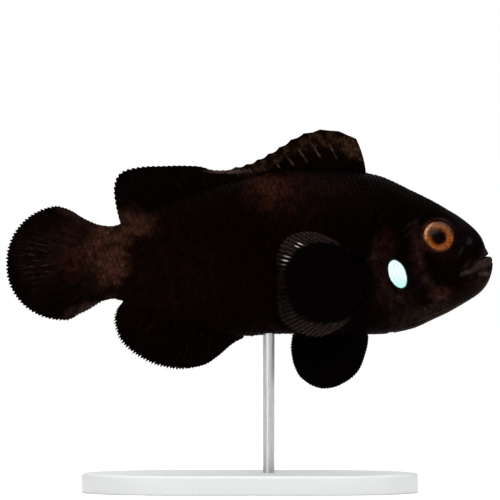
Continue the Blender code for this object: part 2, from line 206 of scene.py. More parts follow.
def profileTables():
    rows = np.array(list(bodyPlan.values()))
    roots = np.linspace(0, math.sqrt(rows[-1, 0]), skin["profileSteps"])
    step = roots[1] - roots[0]
    reach = 3 * round(skin["soften"] / step)
    kernel = bump(np.arange(-reach, reach + 1) * step, skin["soften"] * 1.41)
    tables = []
    for k in (1, 2, 3):
        line = smoothThrough(np.sqrt(rows[:, 0]), rows[:, k])(roots)
        padded = np.pad(line, reach, mode="reflect", reflect_type="odd")
        tables.append(np.convolve(padded, kernel / kernel.sum(), mode="valid"))
    return roots, tables


profileRoots, profiles = profileTables()


def bodyPoint(behind, turn):
    # a point on the smooth body; turn 0 is the back, and a quarter turn is the left flank
    root = np.sqrt(np.maximum(behind, 0))
    top, bottom, width = (np.interp(root, profileRoots, line) for line in profiles)
    level = bottom + skin["widestLevel"] * (top - bottom)
    lift = np.cos(turn)
    height = level + np.where(lift > 0, top - level, level - bottom) * lift
    return np.stack([noseTip - behind * length, width * length * np.sin(turn), axisHeight + height * length],
                    axis=-1)


def bodyNormal(behind, turn):
    step, bend = 2e-4, 2e-3
    along = bodyPoint(behind + step, turn) - bodyPoint(np.maximum(behind - step, 1e-6), turn)
    around = bodyPoint(behind, turn + bend) - bodyPoint(behind, turn - bend)
    return unit(np.cross(around, along))


def turnAt(behind, height):
    # the turn where the left flank passes a height
    turns = np.linspace(0, np.pi, 721)
    heights = (bodyPoint(np.full(len(turns), behind), turns)[:, 2] - axisHeight) / length
    return float(np.interp(-height, -heights, turns))


# the head's relief
mouth = {
    "corner": (0.0629, -0.0268), "front": (0.0113, 0.0097), "arch": 0.36 * mm,
    "upperLip": (1.25 * mm, 0.07 * mm), "lowerLip": (0.95 * mm, 0.12 * mm),  # tall, proud
    "groove": 0.20 * mm, "grooveWidth": 0.09 * mm,
    "crease": 0.05 * mm, "creaseOff": 0.12 * mm, "creaseWidth": 0.16 * mm,
    "setBack": 0.50 * mm, "setBackAbove": 0.20 * mm, "setBackBelow": 0.15 * mm,
    "pout": 0.05 * mm, "poutLevel": -0.004, "poutTall": 1.3 * mm, "poutLong": 2.6 * mm,
}
maxilla = {"top": (0.0381, 0.0065), "foot": (0.0580, -0.0170), "width": 0.42 * mm, "rise": 0.12 * mm}
nostril = {"at": (0.0500, 0.0428), "hole": 0.13 * mm, "depth": 0.14 * mm, "rim": 0.26 * mm,
           "rimRise": 0.08 * mm, "rimWidth": 0.12 * mm}
orbit = {"opening": 0.0331 * length, "shift": (-0.10 * mm, 0.06 * mm), "depth": 1.15 * mm, "wall": 0.07 * mm,
         "rimRise": 0.30 * mm, "rimOff": 0.10 * mm, "rimWidth": 0.42 * mm,
         "ditch": 0.07 * mm, "ditchOff": 0.95 * mm, "ditchWidth": 0.25 * mm}
cheek = {"heights": (-0.0845, -0.0722, -0.0515, -0.0351, -0.0124, 0.0206, 0.0700),
         "behind": (0.0773, 0.1021, 0.1227, 0.1371, 0.1536, 0.1619, 0.1722),
         "step": 0.12 * mm, "ramp": 1.6 * mm, "drop": 0.16 * mm,
         "slit": 0.07 * mm, "slitOff": 0.25 * mm, "slitWidth": 0.20 * mm}
gill = {"rear": 0.2526, "level": 0.008, "bow": 1.95, "top": 0.105,
        "step": 0.30 * mm, "ramp": 3.2 * mm, "drop": 0.14 * mm,
        "slit": 0.24 * mm, "slitOff": 0.22 * mm, "slitWidth": 0.20 * mm,
        "ribs": 46, "ribHub": (0.160, 0.020), "ribRise": 0.035 * mm, "ribOff": -0.75 * mm,
        "ribWidth": 0.55 * mm}
throat = {"folds": 4, "depth": 0.06 * mm, "first": 0.07, "last": 0.235, "span": 0.75}
finLobe = {"at": (0.2665, -0.0410), "radii": (0.012, 0.043), "rise": 0.42 * mm}
vent = {"at": 0.497, "width": 0.55 * mm, "rise": 0.14 * mm}
pores = {"size": 0.11 * mm, "depth": 0.07 * mm, "last": 0.17, "at": (
    (0.070, 0.030), (0.078, 0.008), (0.096, -0.004), (0.118, -0.006), (0.138, 0.004), (0.152, 0.022),
    (0.158, 0.046), (0.146, 0.090), (0.120, 0.100), (0.090, 0.092), (0.140, -0.020), (0.130, -0.040),
    (0.116, -0.056), (0.098, -0.070), (0.078, -0.070), (0.058, -0.064), (0.040, -0.054), (0.022, 0.030),
    (0.034, 0.054))}
finFeet = {"rise": 0.22 * mm, "width": 0.75 * mm, "back": (0.255, 0.285, 0.755, 0.790),
           "belly": (0.505, 0.530, 0.750, 0.785)}  # the skin's ridges under the upright fins
cheekLine = smoothThrough(cheek["heights"], cheek["behind"])
eyeLow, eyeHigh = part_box("eye_left")
eyeMiddle = np.array((eyeLow + eyeHigh) / 2)
eyeBehind = (noseTip - eyeMiddle[0]) / length
eyeTurn = turnAt(eyeBehind, 0.0515)  # the eye looks out square to the flank at this height
eyeAxis = bodyNormal(np.array([eyeBehind]), np.array([eyeTurn]))[0]


def between(value, rising, full, falling, end):
    # 1 from full to falling, and smoothly down to 0 on both sides
    return rise(value, rising, full) * (1 - rise(value, falling, end))


def offLine(along, up, start, end):
    # how far along a line (0 to 1) and how far off it a place lies
    start, end = np.array(start) * length, np.array(end) * length
    way = end - start
    size = np.linalg.norm(way)
    way = way / size
    across = np.array([-way[1], way[0]])
    across = across if across[1] > 0 else -across
    return (((along - start[0]) * way[0] + (up - start[1]) * way[1]) / size,
            (along - start[0]) * across[0] + (up - start[1]) * across[1], size)


def gapeOff(along, up):
    # how far along the mouth (0 at its corner, 1 at the lips) and how far above it a place lies
    reach, off, _ = offLine(along, up, mouth["corner"], mouth["front"])
    near = np.clip(reach, 0, 1)
    return reach, near, off - mouth["arch"] * 4 * near * (1 - near)


def mouthRelief(along, up):
    reach, near, off = gapeOff(along, up)
    made = -mouth["groove"] * bump(off, mouth["grooveWidth"])
    for side, (tall, proud) in ((1, mouth["upperLip"]), (-1, mouth["lowerLip"])):
        half = tall / 2 * (0.40 + 0.60 * near)  # the lips grow thin towards the corner
        roll = np.clip(1 - (side * off / half - 1) ** 2, 0, 1)
        made = made + roll * proud * (0.60 + 0.40 * near)
        past = side * off - 2 * half - mouth["creaseOff"]
        made = made - mouth["crease"] * bump(past, mouth["creaseWidth"])
    pout = mouth["pout"] * bump(up - mouth["poutLevel"] * length, mouth["poutTall"])
    return made * rise(reach, -0.10, 0.08) + pout * (1 - rise(along, 0, mouth["poutLong"]))


def lipSetBack(along, up):
    # the upper lip closes a little behind the lower one
    reach, _, off = gapeOff(along, up)
    step = np.where(off > 0, bump(off, mouth["setBackAbove"]), bump(off, mouth["setBackBelow"]))
    return mouth["setBack"] * step * rise(reach, 0.55, 0.98)


def maxillaRelief(along, up):
    reach, off, size = offLine(along, up, maxilla["top"], maxilla["foot"])
    past = (reach - np.clip(reach, 0, 1)) * size
    width = maxilla["width"] * (0.75 + 0.45 * np.clip(reach, 0, 1))
    return maxilla["rise"] * (1 - rise(np.hypot(off, past), 0.55 * width, 1.15 * width))


def nostrilRelief(along, up):
    spot = np.hypot(along - nostril["at"][0] * length, up - nostril["at"][1] * length)
    rim = nostril["rimRise"] * bump(spot - nostril["rim"], nostril["rimWidth"])
    return rim - nostril["depth"] * (1 - rise(spot, 0.5 * nostril["hole"], 1.3 * nostril["hole"]))


def eyeOff(points):
    # distance from the eye's axis, on either side of the head
    away = points * np.array([1, 0, 1]) + np.abs(points) * np.array([0, 1, 0]) - eyeMiddle
    away = away - np.array([orbit["shift"][0], 0, orbit["shift"][1]])
    return np.linalg.norm(away - (away @ eyeAxis)[..., None] * eyeAxis, axis=-1)


def eyeRelief(points):
    # the socket, the rim round it and a shallow ditch round that
    off = eyeOff(points) - orbit["opening"]
    rim = orbit["rimRise"] * bump(off - orbit["rimOff"], orbit["rimWidth"])
    inside = 1 - rise(off, -orbit["wall"], orbit["wall"])
    return rim - inside * orbit["depth"] - orbit["ditch"] * bump(off - orbit["ditchOff"], orbit["ditchWidth"])


def gillOff(behind, height):
    # how far behind the gill cover's edge a place lies, in metres
    slope = -2 * gill["bow"] * (height - gill["level"])
    edge = gill["rear"] - gill["bow"] * (height - gill["level"]) ** 2
    return (behind - edge) * length / np.sqrt(1 + slope ** 2)


def cheekOff(behind, height):
    # how far behind the cheek plate's edge a place lies, in metres
    step = 0.002
    slope = (cheekLine(height + step) - cheekLine(height - step)) / (2 * step)
    return (behind - cheekLine(height)) * length / np.sqrt(1 + slope ** 2)


def plateRelief(off, plate):
    # a plate that rises towards its free edge at off 0 and drops behind it, with a slit along it
    edge = np.where(off < 0, rise(off, -plate["ramp"], 0), 1 - rise(off, 0, plate["drop"]))
    return plate["step"] * edge - plate["slit"] * bump(off - plate["slitOff"], plate["slitWidth"])


def gillRelief(behind, height):
    off = gillOff(behind, height)
    spread = np.arctan2(height - gill["ribHub"][1], behind - gill["ribHub"][0])
    ribs = gill["ribRise"] * bump(off - gill["ribOff"], gill["ribWidth"]) * np.cos(gill["ribs"] * spread)
    return (plateRelief(off, gill) + ribs) * (1 - rise(height, gill["top"] - 0.02, gill["top"] + 0.005))


def throatRelief(behind, turn):
    # folds along the throat, on both sides of its middle
    lower = np.abs(np.abs(turn) - np.pi)
    folds = np.cos(2 * np.pi * throat["folds"] * np.clip(lower / throat["span"], 0, 1))
    folds = folds * (1 - rise(lower, 0.6 * throat["span"], throat["span"]))
    inThroat = between(behind, throat["first"], throat["first"] + 0.03, throat["last"] - 0.04, throat["last"])
    return throat["depth"] * (0.25 - 0.75 * folds) * inThroat * (lower < throat["span"])


def relief(behind, turn, points):
    # how far the skin stands out from the smooth body, in metres
    along, up = noseTip - points[..., 0], points[..., 2] - axisHeight
    height = up / length
    sideways = np.abs(np.sin(turn))
    flank = rise(sideways, 0.15, 0.45)  # nothing of these on the middle of the back and the belly
    made = mouthRelief(along, up) + flank * (maxillaRelief(along, up) + nostrilRelief(along, up))
    made = made + eyeRelief(points) + throatRelief(behind, turn)
    onCheek = flank * between(height, -0.105, -0.085, 0.055, 0.075)
    made = made + onCheek * plateRelief(cheekOff(behind, height), cheek)
    made = made + rise(sideways, 0.10, 0.40) * gillRelief(behind, height)
    lobe = np.hypot((behind - finLobe["at"][0]) / finLobe["radii"][0],
                    (height - finLobe["at"][1]) / finLobe["radii"][1])
    made = made + flank * finLobe["rise"] * (1 - rise(lobe, 0.35, 1.15))
    face = behind < pores["last"]
    for poreBehind, poreHeight in pores["at"]:
        away = np.hypot(along[face] - poreBehind * length, up[face] - poreHeight * length)
        made[face] -= flank[face] * pores["depth"] * bump(away, pores["size"])
    ventOff = np.hypot(along - vent["at"] * length, points[..., 1])
    made = made + vent["rise"] * bump(ventOff, vent["width"]) * (np.cos(turn) < 0)
    feet = np.where(np.cos(turn) > 0, between(behind, *finFeet["back"]), between(behind, *finFeet["belly"]))
    return made + finFeet["rise"] * bump(points[..., 1], finFeet["width"]) * feet


def skinPoint(behind, turn, proud=0.0):
    # a point on the finished skin, or standing proud of it
    base, normal = bodyPoint(behind, turn), bodyNormal(behind, turn)
    inset = skin["bareInset"] + (skin["coat"] - skin["bareInset"]) * rise(behind, *skin["bareFace"])
    lift = relief(behind, turn, base) - inset + proud
    setBack = lipSetBack(noseTip - base[..., 0], base[..., 2] - axisHeight)
    return base + normal * lift[..., None] - np.array([1, 0, 0]) * setBack[..., None]


def rowPlaces():
    # where the skin's rings of points lie, closest on the head
    fine = np.linspace(0, profileRoots[-1], 6000) ** 2
    top, bottom = (np.interp(np.sqrt(fine), profileRoots, profiles[k]) * length for k in (0, 1))
    stretch = np.hypot(np.diff(fine) * length, (np.abs(np.diff(top)) + np.abs(np.diff(bottom))) / 2)
    places, gaps = np.array(skin["spacing"]).T
    rows = np.concatenate([[0], np.cumsum(stretch / (np.interp(fine[1:], places, gaps) * mm))])
    return np.interp(np.linspace(0, rows[-1], round(rows[-1])), rows, fine)[1:]


def unwrapped(behind, turn):
    # a place on the body as a place on the skin's unwrap
    along, around = np.sqrt(behind / skin["end"]), turn / (2 * np.pi) + 0.5
    return np.stack([along, around], axis=-1) * 0.98 + 0.01


def makeSkin(material):
    turn = fullTurn(skin["sides"])
    turn = np.where(turn > np.pi, turn - 2 * np.pi, turn)
    behind, turn = np.meshgrid(rowPlaces(), turn, indexing="ij")
    points = skinPoint(behind, turn)
    ends = np.array([points[0].mean(axis=0), points[-1].mean(axis=0)])
    uv = np.vstack([unwrapped(behind, turn).reshape(-1, 2), [[0.005, 0.5], [0.995, 0.5]]])
    makePiece("skin", np.vstack([points.reshape(-1, 3), ends]), tubeFaces(*behind.shape), material,
              uv=uv, stands=("head", "lower_jaw", "gill_cover_right", "gill_cover_left", "trunk", "tail",
                             "tail_stalk"))


def addNode(tree, kind, inputs=None, **settings):
    made = tree.nodes.new(kind)
    for key, value in settings.items():
        setattr(made, key, value)
    for key, value in (inputs or {}).items():
        if isinstance(value, bpy.types.NodeSocket):
            tree.links.new(value, made.inputs[key])
        else:
            made.inputs[key].default_value = value
    return made


gloss = {"Specular IOR Level": 0.010, "Specular Tint": (1.0, 0.45, 0.34, 1.0)}  # a faint warm sheen
finGloss = {**gloss, "Specular IOR Level": 0.006}


def newMaterial(name, sockets):
    material = bpy.data.materials.new(name)
    material.use_nodes = True
    tree = material.node_tree
    shader = tree.nodes["Principled BSDF"]
    for key, value in sockets.items():
        shader.inputs[key].default_value = value
    return material, tree, shader


def feed(tree, shader, sockets):
    # lead a node's output to each named socket of the shader
    for key, value in sockets.items():
        tree.links.new(value, shader.inputs[key])


def colour(red, green, blue):
    # a screen colour, 0 to 255, as the shader's linear one
    parts = [value / 255 for value in (red, green, blue)]
    return (*[part / 12.92 if part < 0.04045 else ((part + 0.055) / 1.055) ** 2.4 for part in parts], 1.0)


def calc(tree, operation, a, b=0.0):
    return addNode(tree, "ShaderNodeMath", {0: a, 1: b}, operation=operation).outputs[0]


def times(tree, first, *others):
    for other in others:
        first = calc(tree, "MULTIPLY", first, other)
    return first


def most(tree, first, *others):
    for other in others:
        first = calc(tree, "MAXIMUM", first, other)
    return first


def blendColour(tree, factor, a, b, kind="MIX"):
    return addNode(tree, "ShaderNodeMix", {0: factor, 6: a, 7: b}, data_type="RGBA",
                   blend_type=kind).outputs[2]


def remap(tree, value, fromLow, fromHigh, toLow=0.0, toHigh=1.0, kind="SMOOTHSTEP"):
    limits = {"Value": value, "From Min": fromLow, "From Max": fromHigh, "To Min": toLow, "To Max": toHigh}
    return addNode(tree, "ShaderNodeMapRange", limits, interpolation_type=kind).outputs["Result"]


def noise(tree, at, size, detail=3.0, rough=0.55):
    # size is the width of a blotch in metres
    return addNode(tree, "ShaderNodeTexNoise", {"Vector": at, "Scale": 1 / size, "Detail": detail,
                                                "Roughness": rough}).outputs["Fac"]


def attribute(tree, name, output="Fac"):
    return addNode(tree, "ShaderNodeAttribute", attribute_name=name).outputs[output]


def split(tree, vector):
    return addNode(tree, "ShaderNodeSeparateXYZ", {0: vector}).outputs


def place(tree):
    return addNode(tree, "ShaderNodeTexCoord").outputs["Object"]


def vectorCalc(tree, operation, inputs):
    return addNode(tree, "ShaderNodeVectorMath", inputs, operation=operation).outputs


def wobbled(tree, at, size, reach):
    # the place, pushed about by a noise so that patches have uneven edges
    shift = addNode(tree, "ShaderNodeTexNoise", {"Vector": at, "Scale": 1 / size, "Detail": 2.0})
    middle = vectorCalc(tree, "SUBTRACT", {0: shift.outputs["Color"], 1: (0.5, 0.5, 0.5)})[0]
    push = vectorCalc(tree, "SCALE", {0: middle, "Scale": 2 * reach})[0]
    return vectorCalc(tree, "ADD", {0: at, 1: push})[0]


def stretched(tree, at, squash):
    # the place with its heights squashed, so that a noise in it runs up and down
    return vectorCalc(tree, "MULTIPLY", {0: at, 1: (1.0, 1.0, squash)})[0]


def patchMask(tree, at, middle, radii, tilt=0.0, soft=0.5):
    # 1 inside an ellipse seen from the side, falling to 0 at its edge
    spot = addNode(tree, "ShaderNodeMapping", {
        "Vector": at, "Location": (noseTip - middle[0] * length, 0, axisHeight + middle[1] * length),
        "Rotation": (0, math.radians(tilt), 0), "Scale": (radii[0] * length, 1, radii[1] * length)},
        vector_type="TEXTURE").outputs[0]
    return remap(tree, vectorCalc(tree, "LENGTH", {0: spot})["Value"], 1 + soft, 1 - soft)


def anyPatch(tree, at, patches):
    return most(tree, *[patchMask(tree, at, *patch) for patch in patches])


def shaded(tree, tone, light, kept=None):
    # a colour times a number, except where kept is 1
    grey = addNode(tree, "ShaderNodeCombineXYZ", {0: light, 1: light, 2: light}).outputs[0]
    if kept is not None:
        grey = blendColour(tree, kept, grey, (1, 1, 1, 1))
    return blendColour(tree, 1.0, tone, grey, "MULTIPLY")


def bumps(tree, height, strength, deep):
    inputs = {"Height": height, "Strength": strength, "Distance": deep}
    return addNode(tree, "ShaderNodeBump", inputs).outputs[0]


# the patches: middle, radii, tilt, softness, colour, strength
bodyMarks = {
    "flank": ((0.610, -0.02), (0.270, 0.125), 0, 0.5, (6, 1, 0), 1.0),
    # the back, under the back and back band marks are painted light falling on the upper back from above
    "back": ((0.451, 0.149), (0.050, 0.039), 0, 0.7, (35, 14, 8), 0.95),
    "under the back": ((0.400, 0.095), (0.050, 0.046), 30, 0.8, (13, 4, 2), 0.6),
    "back crest": ((0.394, 0.171), (0.066, 0.0150), 8, 0.7, (9, 3, 2), 0.9),
    "back band": ((0.345, 0.154), (0.065, 0.011), 4, 0.8, (18, 8, 6), 0.45),
    "rear": ((0.665, -0.020), (0.09, 0.07), 0, 0.8, (11, 4, 2), 0.8),
    "tail middle": ((0.864, 0.024), (0.048, 0.054), 0, 0.7, (30, 13, 9), 0.95),
    "tail top": ((0.850, 0.100), (0.055, 0.013), 21, 0.8, (31, 19, 15), 0.85),
    "tail foot": ((0.834, -0.095), (0.048, 0.0090), -25, 0.8, (46, 32, 28), 0.9),
    "tail rear": ((0.935, 0.010), (0.040, 0.060), 0, 0.8, (14, 7, 5), 0.8),
    # the stalk, stalk top, stalk neck and stalk side marks are painted light on the tail stalk
    "stalk": ((0.795, 0.013), (0.041, 0.058), 0, 0.5, (49, 27, 19), 1.0),
    "tail front": ((0.842, 0.052), (0.020, 0.030), 0, 0.8, (16, 8, 6), 0.6),
    "stalk top": ((0.737, 0.083), (0.042, 0.023), 12, 0.7, (45, 25, 18), 0.9),
    "stalk neck": ((0.773, 0.053), (0.034, 0.022), -10, 0.8, (48, 28, 20), 0.6),
    "stalk side": ((0.780, -0.018), (0.017, 0.023), 0, 0.8, (52, 28, 23), 0.7),
    "tail pit": ((0.830, -0.029), (0.016, 0.022), 0, 0.8, (11, 4, 2), 0.9),
    "tail shade": ((0.838, -0.054), (0.026, 0.022), 0, 0.7, (9, 5, 6), 0.9),
    "belly": ((0.40, -0.138), (0.10, 0.012), 0, 0.8, (16, 9, 6), 0.7),
    # the throat mark is painted light thrown up onto the throat
    "throat": ((0.135, -0.106), (0.080, 0.024), -18, 0.7, (27, 19, 13), 0.95),
    "behind the eye": ((0.2258, 0.031), (0.0205, 0.028), 10, 0.8, (29, 11, 7), 0.9),
    "cheek band": ((0.159, 0.014), (0.012, 0.046), -6, 0.8, (32, 17, 15), 0.9),
    "cheek foot": ((0.108, -0.065), (0.022, 0.014), -10, 0.5, (36, 17, 13), 0.9),
    "cheek light": ((0.109, -0.0730), (0.009, 0.0030), -8, 0.8, (52, 38, 30), 0.6),
    "cheek shade": ((0.158, -0.045), (0.017, 0.022), 0, 0.8, (8, 3, 6), 0.9),
    "cheek corner": ((0.134, -0.043), (0.009, 0.026), -28, 0.8, (32, 19, 16), 0.9),
    "under the eye": ((0.096, 0.0135), (0.020, 0.009), -10, 0.8, (20, 4, 9), 0.55),
    "around the eye": ((0.1138, 0.0540), (0.0355, 0.0355), 0, 0.14, (42, 15, 6), 0.9),
    "gill ribs": ((0.2290, -0.022), (0.0175, 0.052), 0, 0.8, (22, 10, 7), 0.75),
    "gill foot": ((0.205, -0.075), (0.036, 0.026), 0, 0.8, (22, 12, 10), 0.8),
    "gill edge": ((0.241, 0.0144), (0.018, 0.0085), -22, 0.8, (34, 23, 19), 0.55),
    "gill crease": ((0.2245, -0.040), (0.007, 0.024), 6, 0.8, (26, 17, 14), 0.5),
    "spot foot": ((0.203, -0.067), (0.023, 0.0065), 38, 0.8, (32, 21, 18), 0.55),
    "snout": ((0.062, 0.060), (0.030, 0.030), 30, 0.8, (8, 4, 6), 0.8),
    "jaw": ((0.020, -0.042), (0.028, 0.030), 15, 0.6, (24, 14, 11), 0.95),
    "chin": ((0.060, -0.068), (0.034, 0.018), -30, 0.8, (12, 5, 3), 0.9),
    "upper jaw": ((0.054, -0.006), (0.013, 0.006), -45, 0.8, (20, 14, 9), 0.7),
    "gape": ((0.042, -0.003), (0.010, 0.004), -45, 0.8, (10, 2, 1), 0.8),
    # the pale lower lip, lip corner and lip fold marks are painted highlights on the lips
    "lower lip": ((0.0200, -0.0020), (0.021, 0.0105), -28, 0.6, (46, 34, 32), 0.95),
    "lip band": ((0.0455, -0.0165), (0.016, 0.0050), -38, 0.6, (38, 28, 25), 0.9),
    "lip corner": ((0.0600, -0.0232), (0.0085, 0.0048), -15, 0.6, (54, 45, 42), 0.9),
    "chin shade": ((0.063, -0.068), (0.020, 0.013), 20, 0.8, (8, 3, 2), 0.5),
    "lip fold": ((0.0175, -0.0240), (0.0110, 0.0040), -5, 0.6, (54, 43, 41), 0.9),
    "lip shade": ((0.0230, -0.0165), (0.0130, 0.0025), -12, 0.8, (22, 13, 10), 0.7),
    "upper lip": ((0.0150, 0.0170), (0.012, 0.007), 50, 0.8, (26, 22, 20), 0.8),
    "cheek fold": ((0.0680, 0.0186), (0.0125, 0.0028), -65, 0.8, (28, 22, 17), 0.8),
    "temple fold": ((0.166, 0.080), (0.022, 0.0034), -36, 0.8, (26, 16, 14), 0.6),
    "temple line": ((0.172, 0.062), (0.016, 0.0026), -44, 0.8, (24, 14, 12), 0.7),
    "nostril": ((0.0508, 0.0418), (0.0060, 0.0045), 0, 0.8, (38, 32, 33), 0.7),
    "nose spot": ((0.0500, 0.0505), (0.0045, 0.0040), 0, 0.8, (24, 20, 21), 0.5),
}
clouds = {
    "loose": (4 * mm, 1.3 * mm), "tight": (1.2 * mm, 0.30 * mm),  # how a mark's edge wanders: size, reach
    "smallMark": 0.037,  # marks under this size have a tight edge
    # a blotch's size, the noise from and to, and the strength there
    "mottle": (1.3 * mm, 0.32, 0.58, 0.20, 1.0), "speckle": (0.60 * mm, 0.30, 0.70, 0.62, 1.45),
}
whiteSpot = {"middle": (0.1973, -0.0244), "radii": (0.0170, 0.0298), "tilt": -22,
             "white": colour(226, 243, 242), "aqua": colour(186, 240, 230),
             "rim": colour(3, 22, 22), "rimSize": 1.16, "rimSoft": 0.10, "soft": 0.045,
             "edge": (1.2 * mm, 0.10 * mm)}
darkBase = colour(3, 1, 1)


def markedTone(tree, at, base):
    # the black-brown of the fish with its paler patches, some of them painted light on the back, throat, tail
    # stalk and lips
    loose, tight = wobbled(tree, at, *clouds["loose"]), wobbled(tree, at, *clouds["tight"])
    mottle = remap(tree, noise(tree, at, clouds["mottle"][0], 4), *clouds["mottle"][1:])
    made = base
    for middle, radii, tilt, soft, tone, strength in bodyMarks.values():
        near = tight if max(radii) < clouds["smallMark"] else loose
        share = times(tree, patchMask(tree, near, middle, radii, tilt, soft), strength, mottle)
        made = blendColour(tree, share, made, colour(*tone))
    speckle = remap(tree, noise(tree, at, clouds["speckle"][0], 2, 0.5), *clouds["speckle"][1:], "LINEAR")
    return shaded(tree, made, speckle)


def bodyColours(tree, at):
    # the same with the white spot on the gill cover, which turns bluer downwards
    made = markedTone(tree, at, darkBase)
    near = wobbled(tree, at, *whiteSpot["edge"])
    middle, radii, tilt = whiteSpot["middle"], whiteSpot["radii"], whiteSpot["tilt"]
    outer = [radius * whiteSpot["rimSize"] for radius in radii]
    rim = patchMask(tree, near, middle, outer, tilt, whiteSpot["rimSoft"])
    inside = patchMask(tree, near, middle, radii, tilt, whiteSpot["soft"])
    level, span = axisHeight + middle[1] * length, radii[1] * length
    low = remap(tree, split(tree, at)["Z"], level + 0.1 * span, level - span)
    made = blendColour(tree, rim, made, whiteSpot["rim"])
    spotTone = blendColour(tree, low, whiteSpot["white"], whiteSpot["aqua"])
    return blendColour(tree, inside, made, spotTone), inside


def skinMaterial():
    material, tree, shader = newMaterial("wetSkin", gloss)
    at = place(tree)
    tone, _ = bodyColours(tree, at)
    grain = noise(tree, at, 0.12 * mm)
    feed(tree, shader, {"Base Color": tone, "Roughness": remap(tree, grain, 0.3, 0.7, 0.36, 0.55),
                        "Normal": bumps(tree, grain, 0.25, 0.03 * mm)})
    return material


def coatMaterial():
    # each scale has its own shade, a paler free edge and fine lines along it
    material, tree, shader = newMaterial("scaleCoat", {"Roughness": 0.36, **gloss})
    at = place(tree)
    tone, spot = bodyColours(tree, at)
    reach, across, shade = split(tree, attribute(tree, "scale", "Vector"))
    light = times(tree, remap(tree, shade, 0, 1, 0.72, 1.35, "LINEAR"),
                  remap(tree, reach, 0.60, 0.95, 0.80, 1.20))
    grain = noise(tree, at, 0.10 * mm, 2)
    lines = times(tree, calc(tree, "SINE", times(tree, across, 26.0)), 0.35)
    feed(tree, shader, {"Base Color": shaded(tree, tone, light, kept=spot),
                        "Normal": bumps(tree, calc(tree, "ADD", grain, lines), 0.3, 0.015 * mm)})
    return material


# painted highlights streaking along the tail's rays: where they lie, and their colour
tailRayHighlights = {"patch": ((0.942, 0.006), (0.032, 0.038), 0, 0.6), "tone": colour(46, 34, 31)}
notchEdge = {"patch": ((0.546, 0.1880), (0.038, 0.0050), 0, 0.6), "tone": colour(68, 55, 50)}
spinyFin = {"webs": (colour(12, 5, 2), colour(42, 26, 15)), "hairs": colour(52, 34, 24),
            "foot": colour(5, 2, 1), "spines": colour(60, 47, 39),
            # the brown web's lower edge: along the fin from, to, height there, height there
            "edgeFront": (0.07, 0.16, 0.36, 0.62), "edgeRear": (0.50, 0.85, 0.62, 0.25)}
clearFin = {
    "disc": (((0.3474, -0.0438), (0.0825, 0.0830), 0, 0.05), ((0.3577, -0.0320), (0.0735, 0.0735), 0, 0.06)),
    "discFront": (0.318, 0.286),  # ahead of here the whole fin is black
    "around": (((0.3474, -0.0438), (0.0930, 0.0935), 0, 0.05),  # where the rays may glint
               ((0.3577, -0.0320), (0.0855, 0.0855), 0, 0.05)),
    # painted glints on the rays: two bright spots, and a faint one below them with its share
    "glints": (((0.430, 0.004), (0.011, 0.0085)), ((0.398, 0.035), (0.009, 0.0050))),
    "faint": ((0.428, -0.022), (0.006, 0.018)), "faintShare": 0.07,
    "shades": {"rear": ((0.444, -0.048), (0.022, 0.068), 0.92, (9, 5, 4)),
               "low": ((0.430, -0.100), (0.045, 0.040), 0.5, (12, 11, 11))},
    "black": colour(2, 1, 1), "web": colour(26, 18, 17), "rays": colour(46, 39, 39),
    "glint": colour(225, 220, 220),
    "clear": (0.60, 0.90),  # how solid the web and the rays of the clear edge are
}


def newFin(name):
    # a fin's shader, place and its (along, reach, ridge)
    material, tree, shader = newMaterial(name, {"Roughness": 0.45, **finGloss})
    return material, tree, shader, place(tree), split(tree, attribute(tree, "fin", "Vector"))


def fringed(tree, at, made):
    # the notch between the two dorsal fins has a pale edge
    broken = remap(tree, noise(tree, at, 0.6 * mm, 2), 0.35, 0.62, 0.2, 0.8)
    share = times(tree, patchMask(tree, at, *notchEdge["patch"]), broken)
    return blendColour(tree, share, made, notchEdge["tone"])


def finMaterial(name, base, rays):
    # a dark fin with the body's patches, here and there rays with a painted highlight, and painted highlights
    # streaking along the tail's rays
    material, tree, shader, at, (_, _, ridge) = newFin(name)
    made = markedTone(tree, at, base)
    # here and there the rays are lightened by a painted highlight
    share = times(tree, ridge, remap(tree, noise(tree, at, 2.5 * mm), 0.40, 0.65, 0.05, 0.6))
    made = blendColour(tree, share, made, blendColour(tree, 1.0, made, rays, "ADD"))
    # painted highlights streak along the tail's rays
    streaks = patchMask(tree, wobbled(tree, at, 2 * mm, 1.2 * mm), *tailRayHighlights["patch"])
    broken = remap(tree, noise(tree, at, 0.7 * mm), 0.42, 0.60)
    share = times(tree, streaks, broken, remap(tree, ridge, 0.45, 1.0))
    made = blendColour(tree, share, made, tailRayHighlights["tone"])
    feed(tree, shader, {"Base Color": fringed(tree, at, made)})
    return material


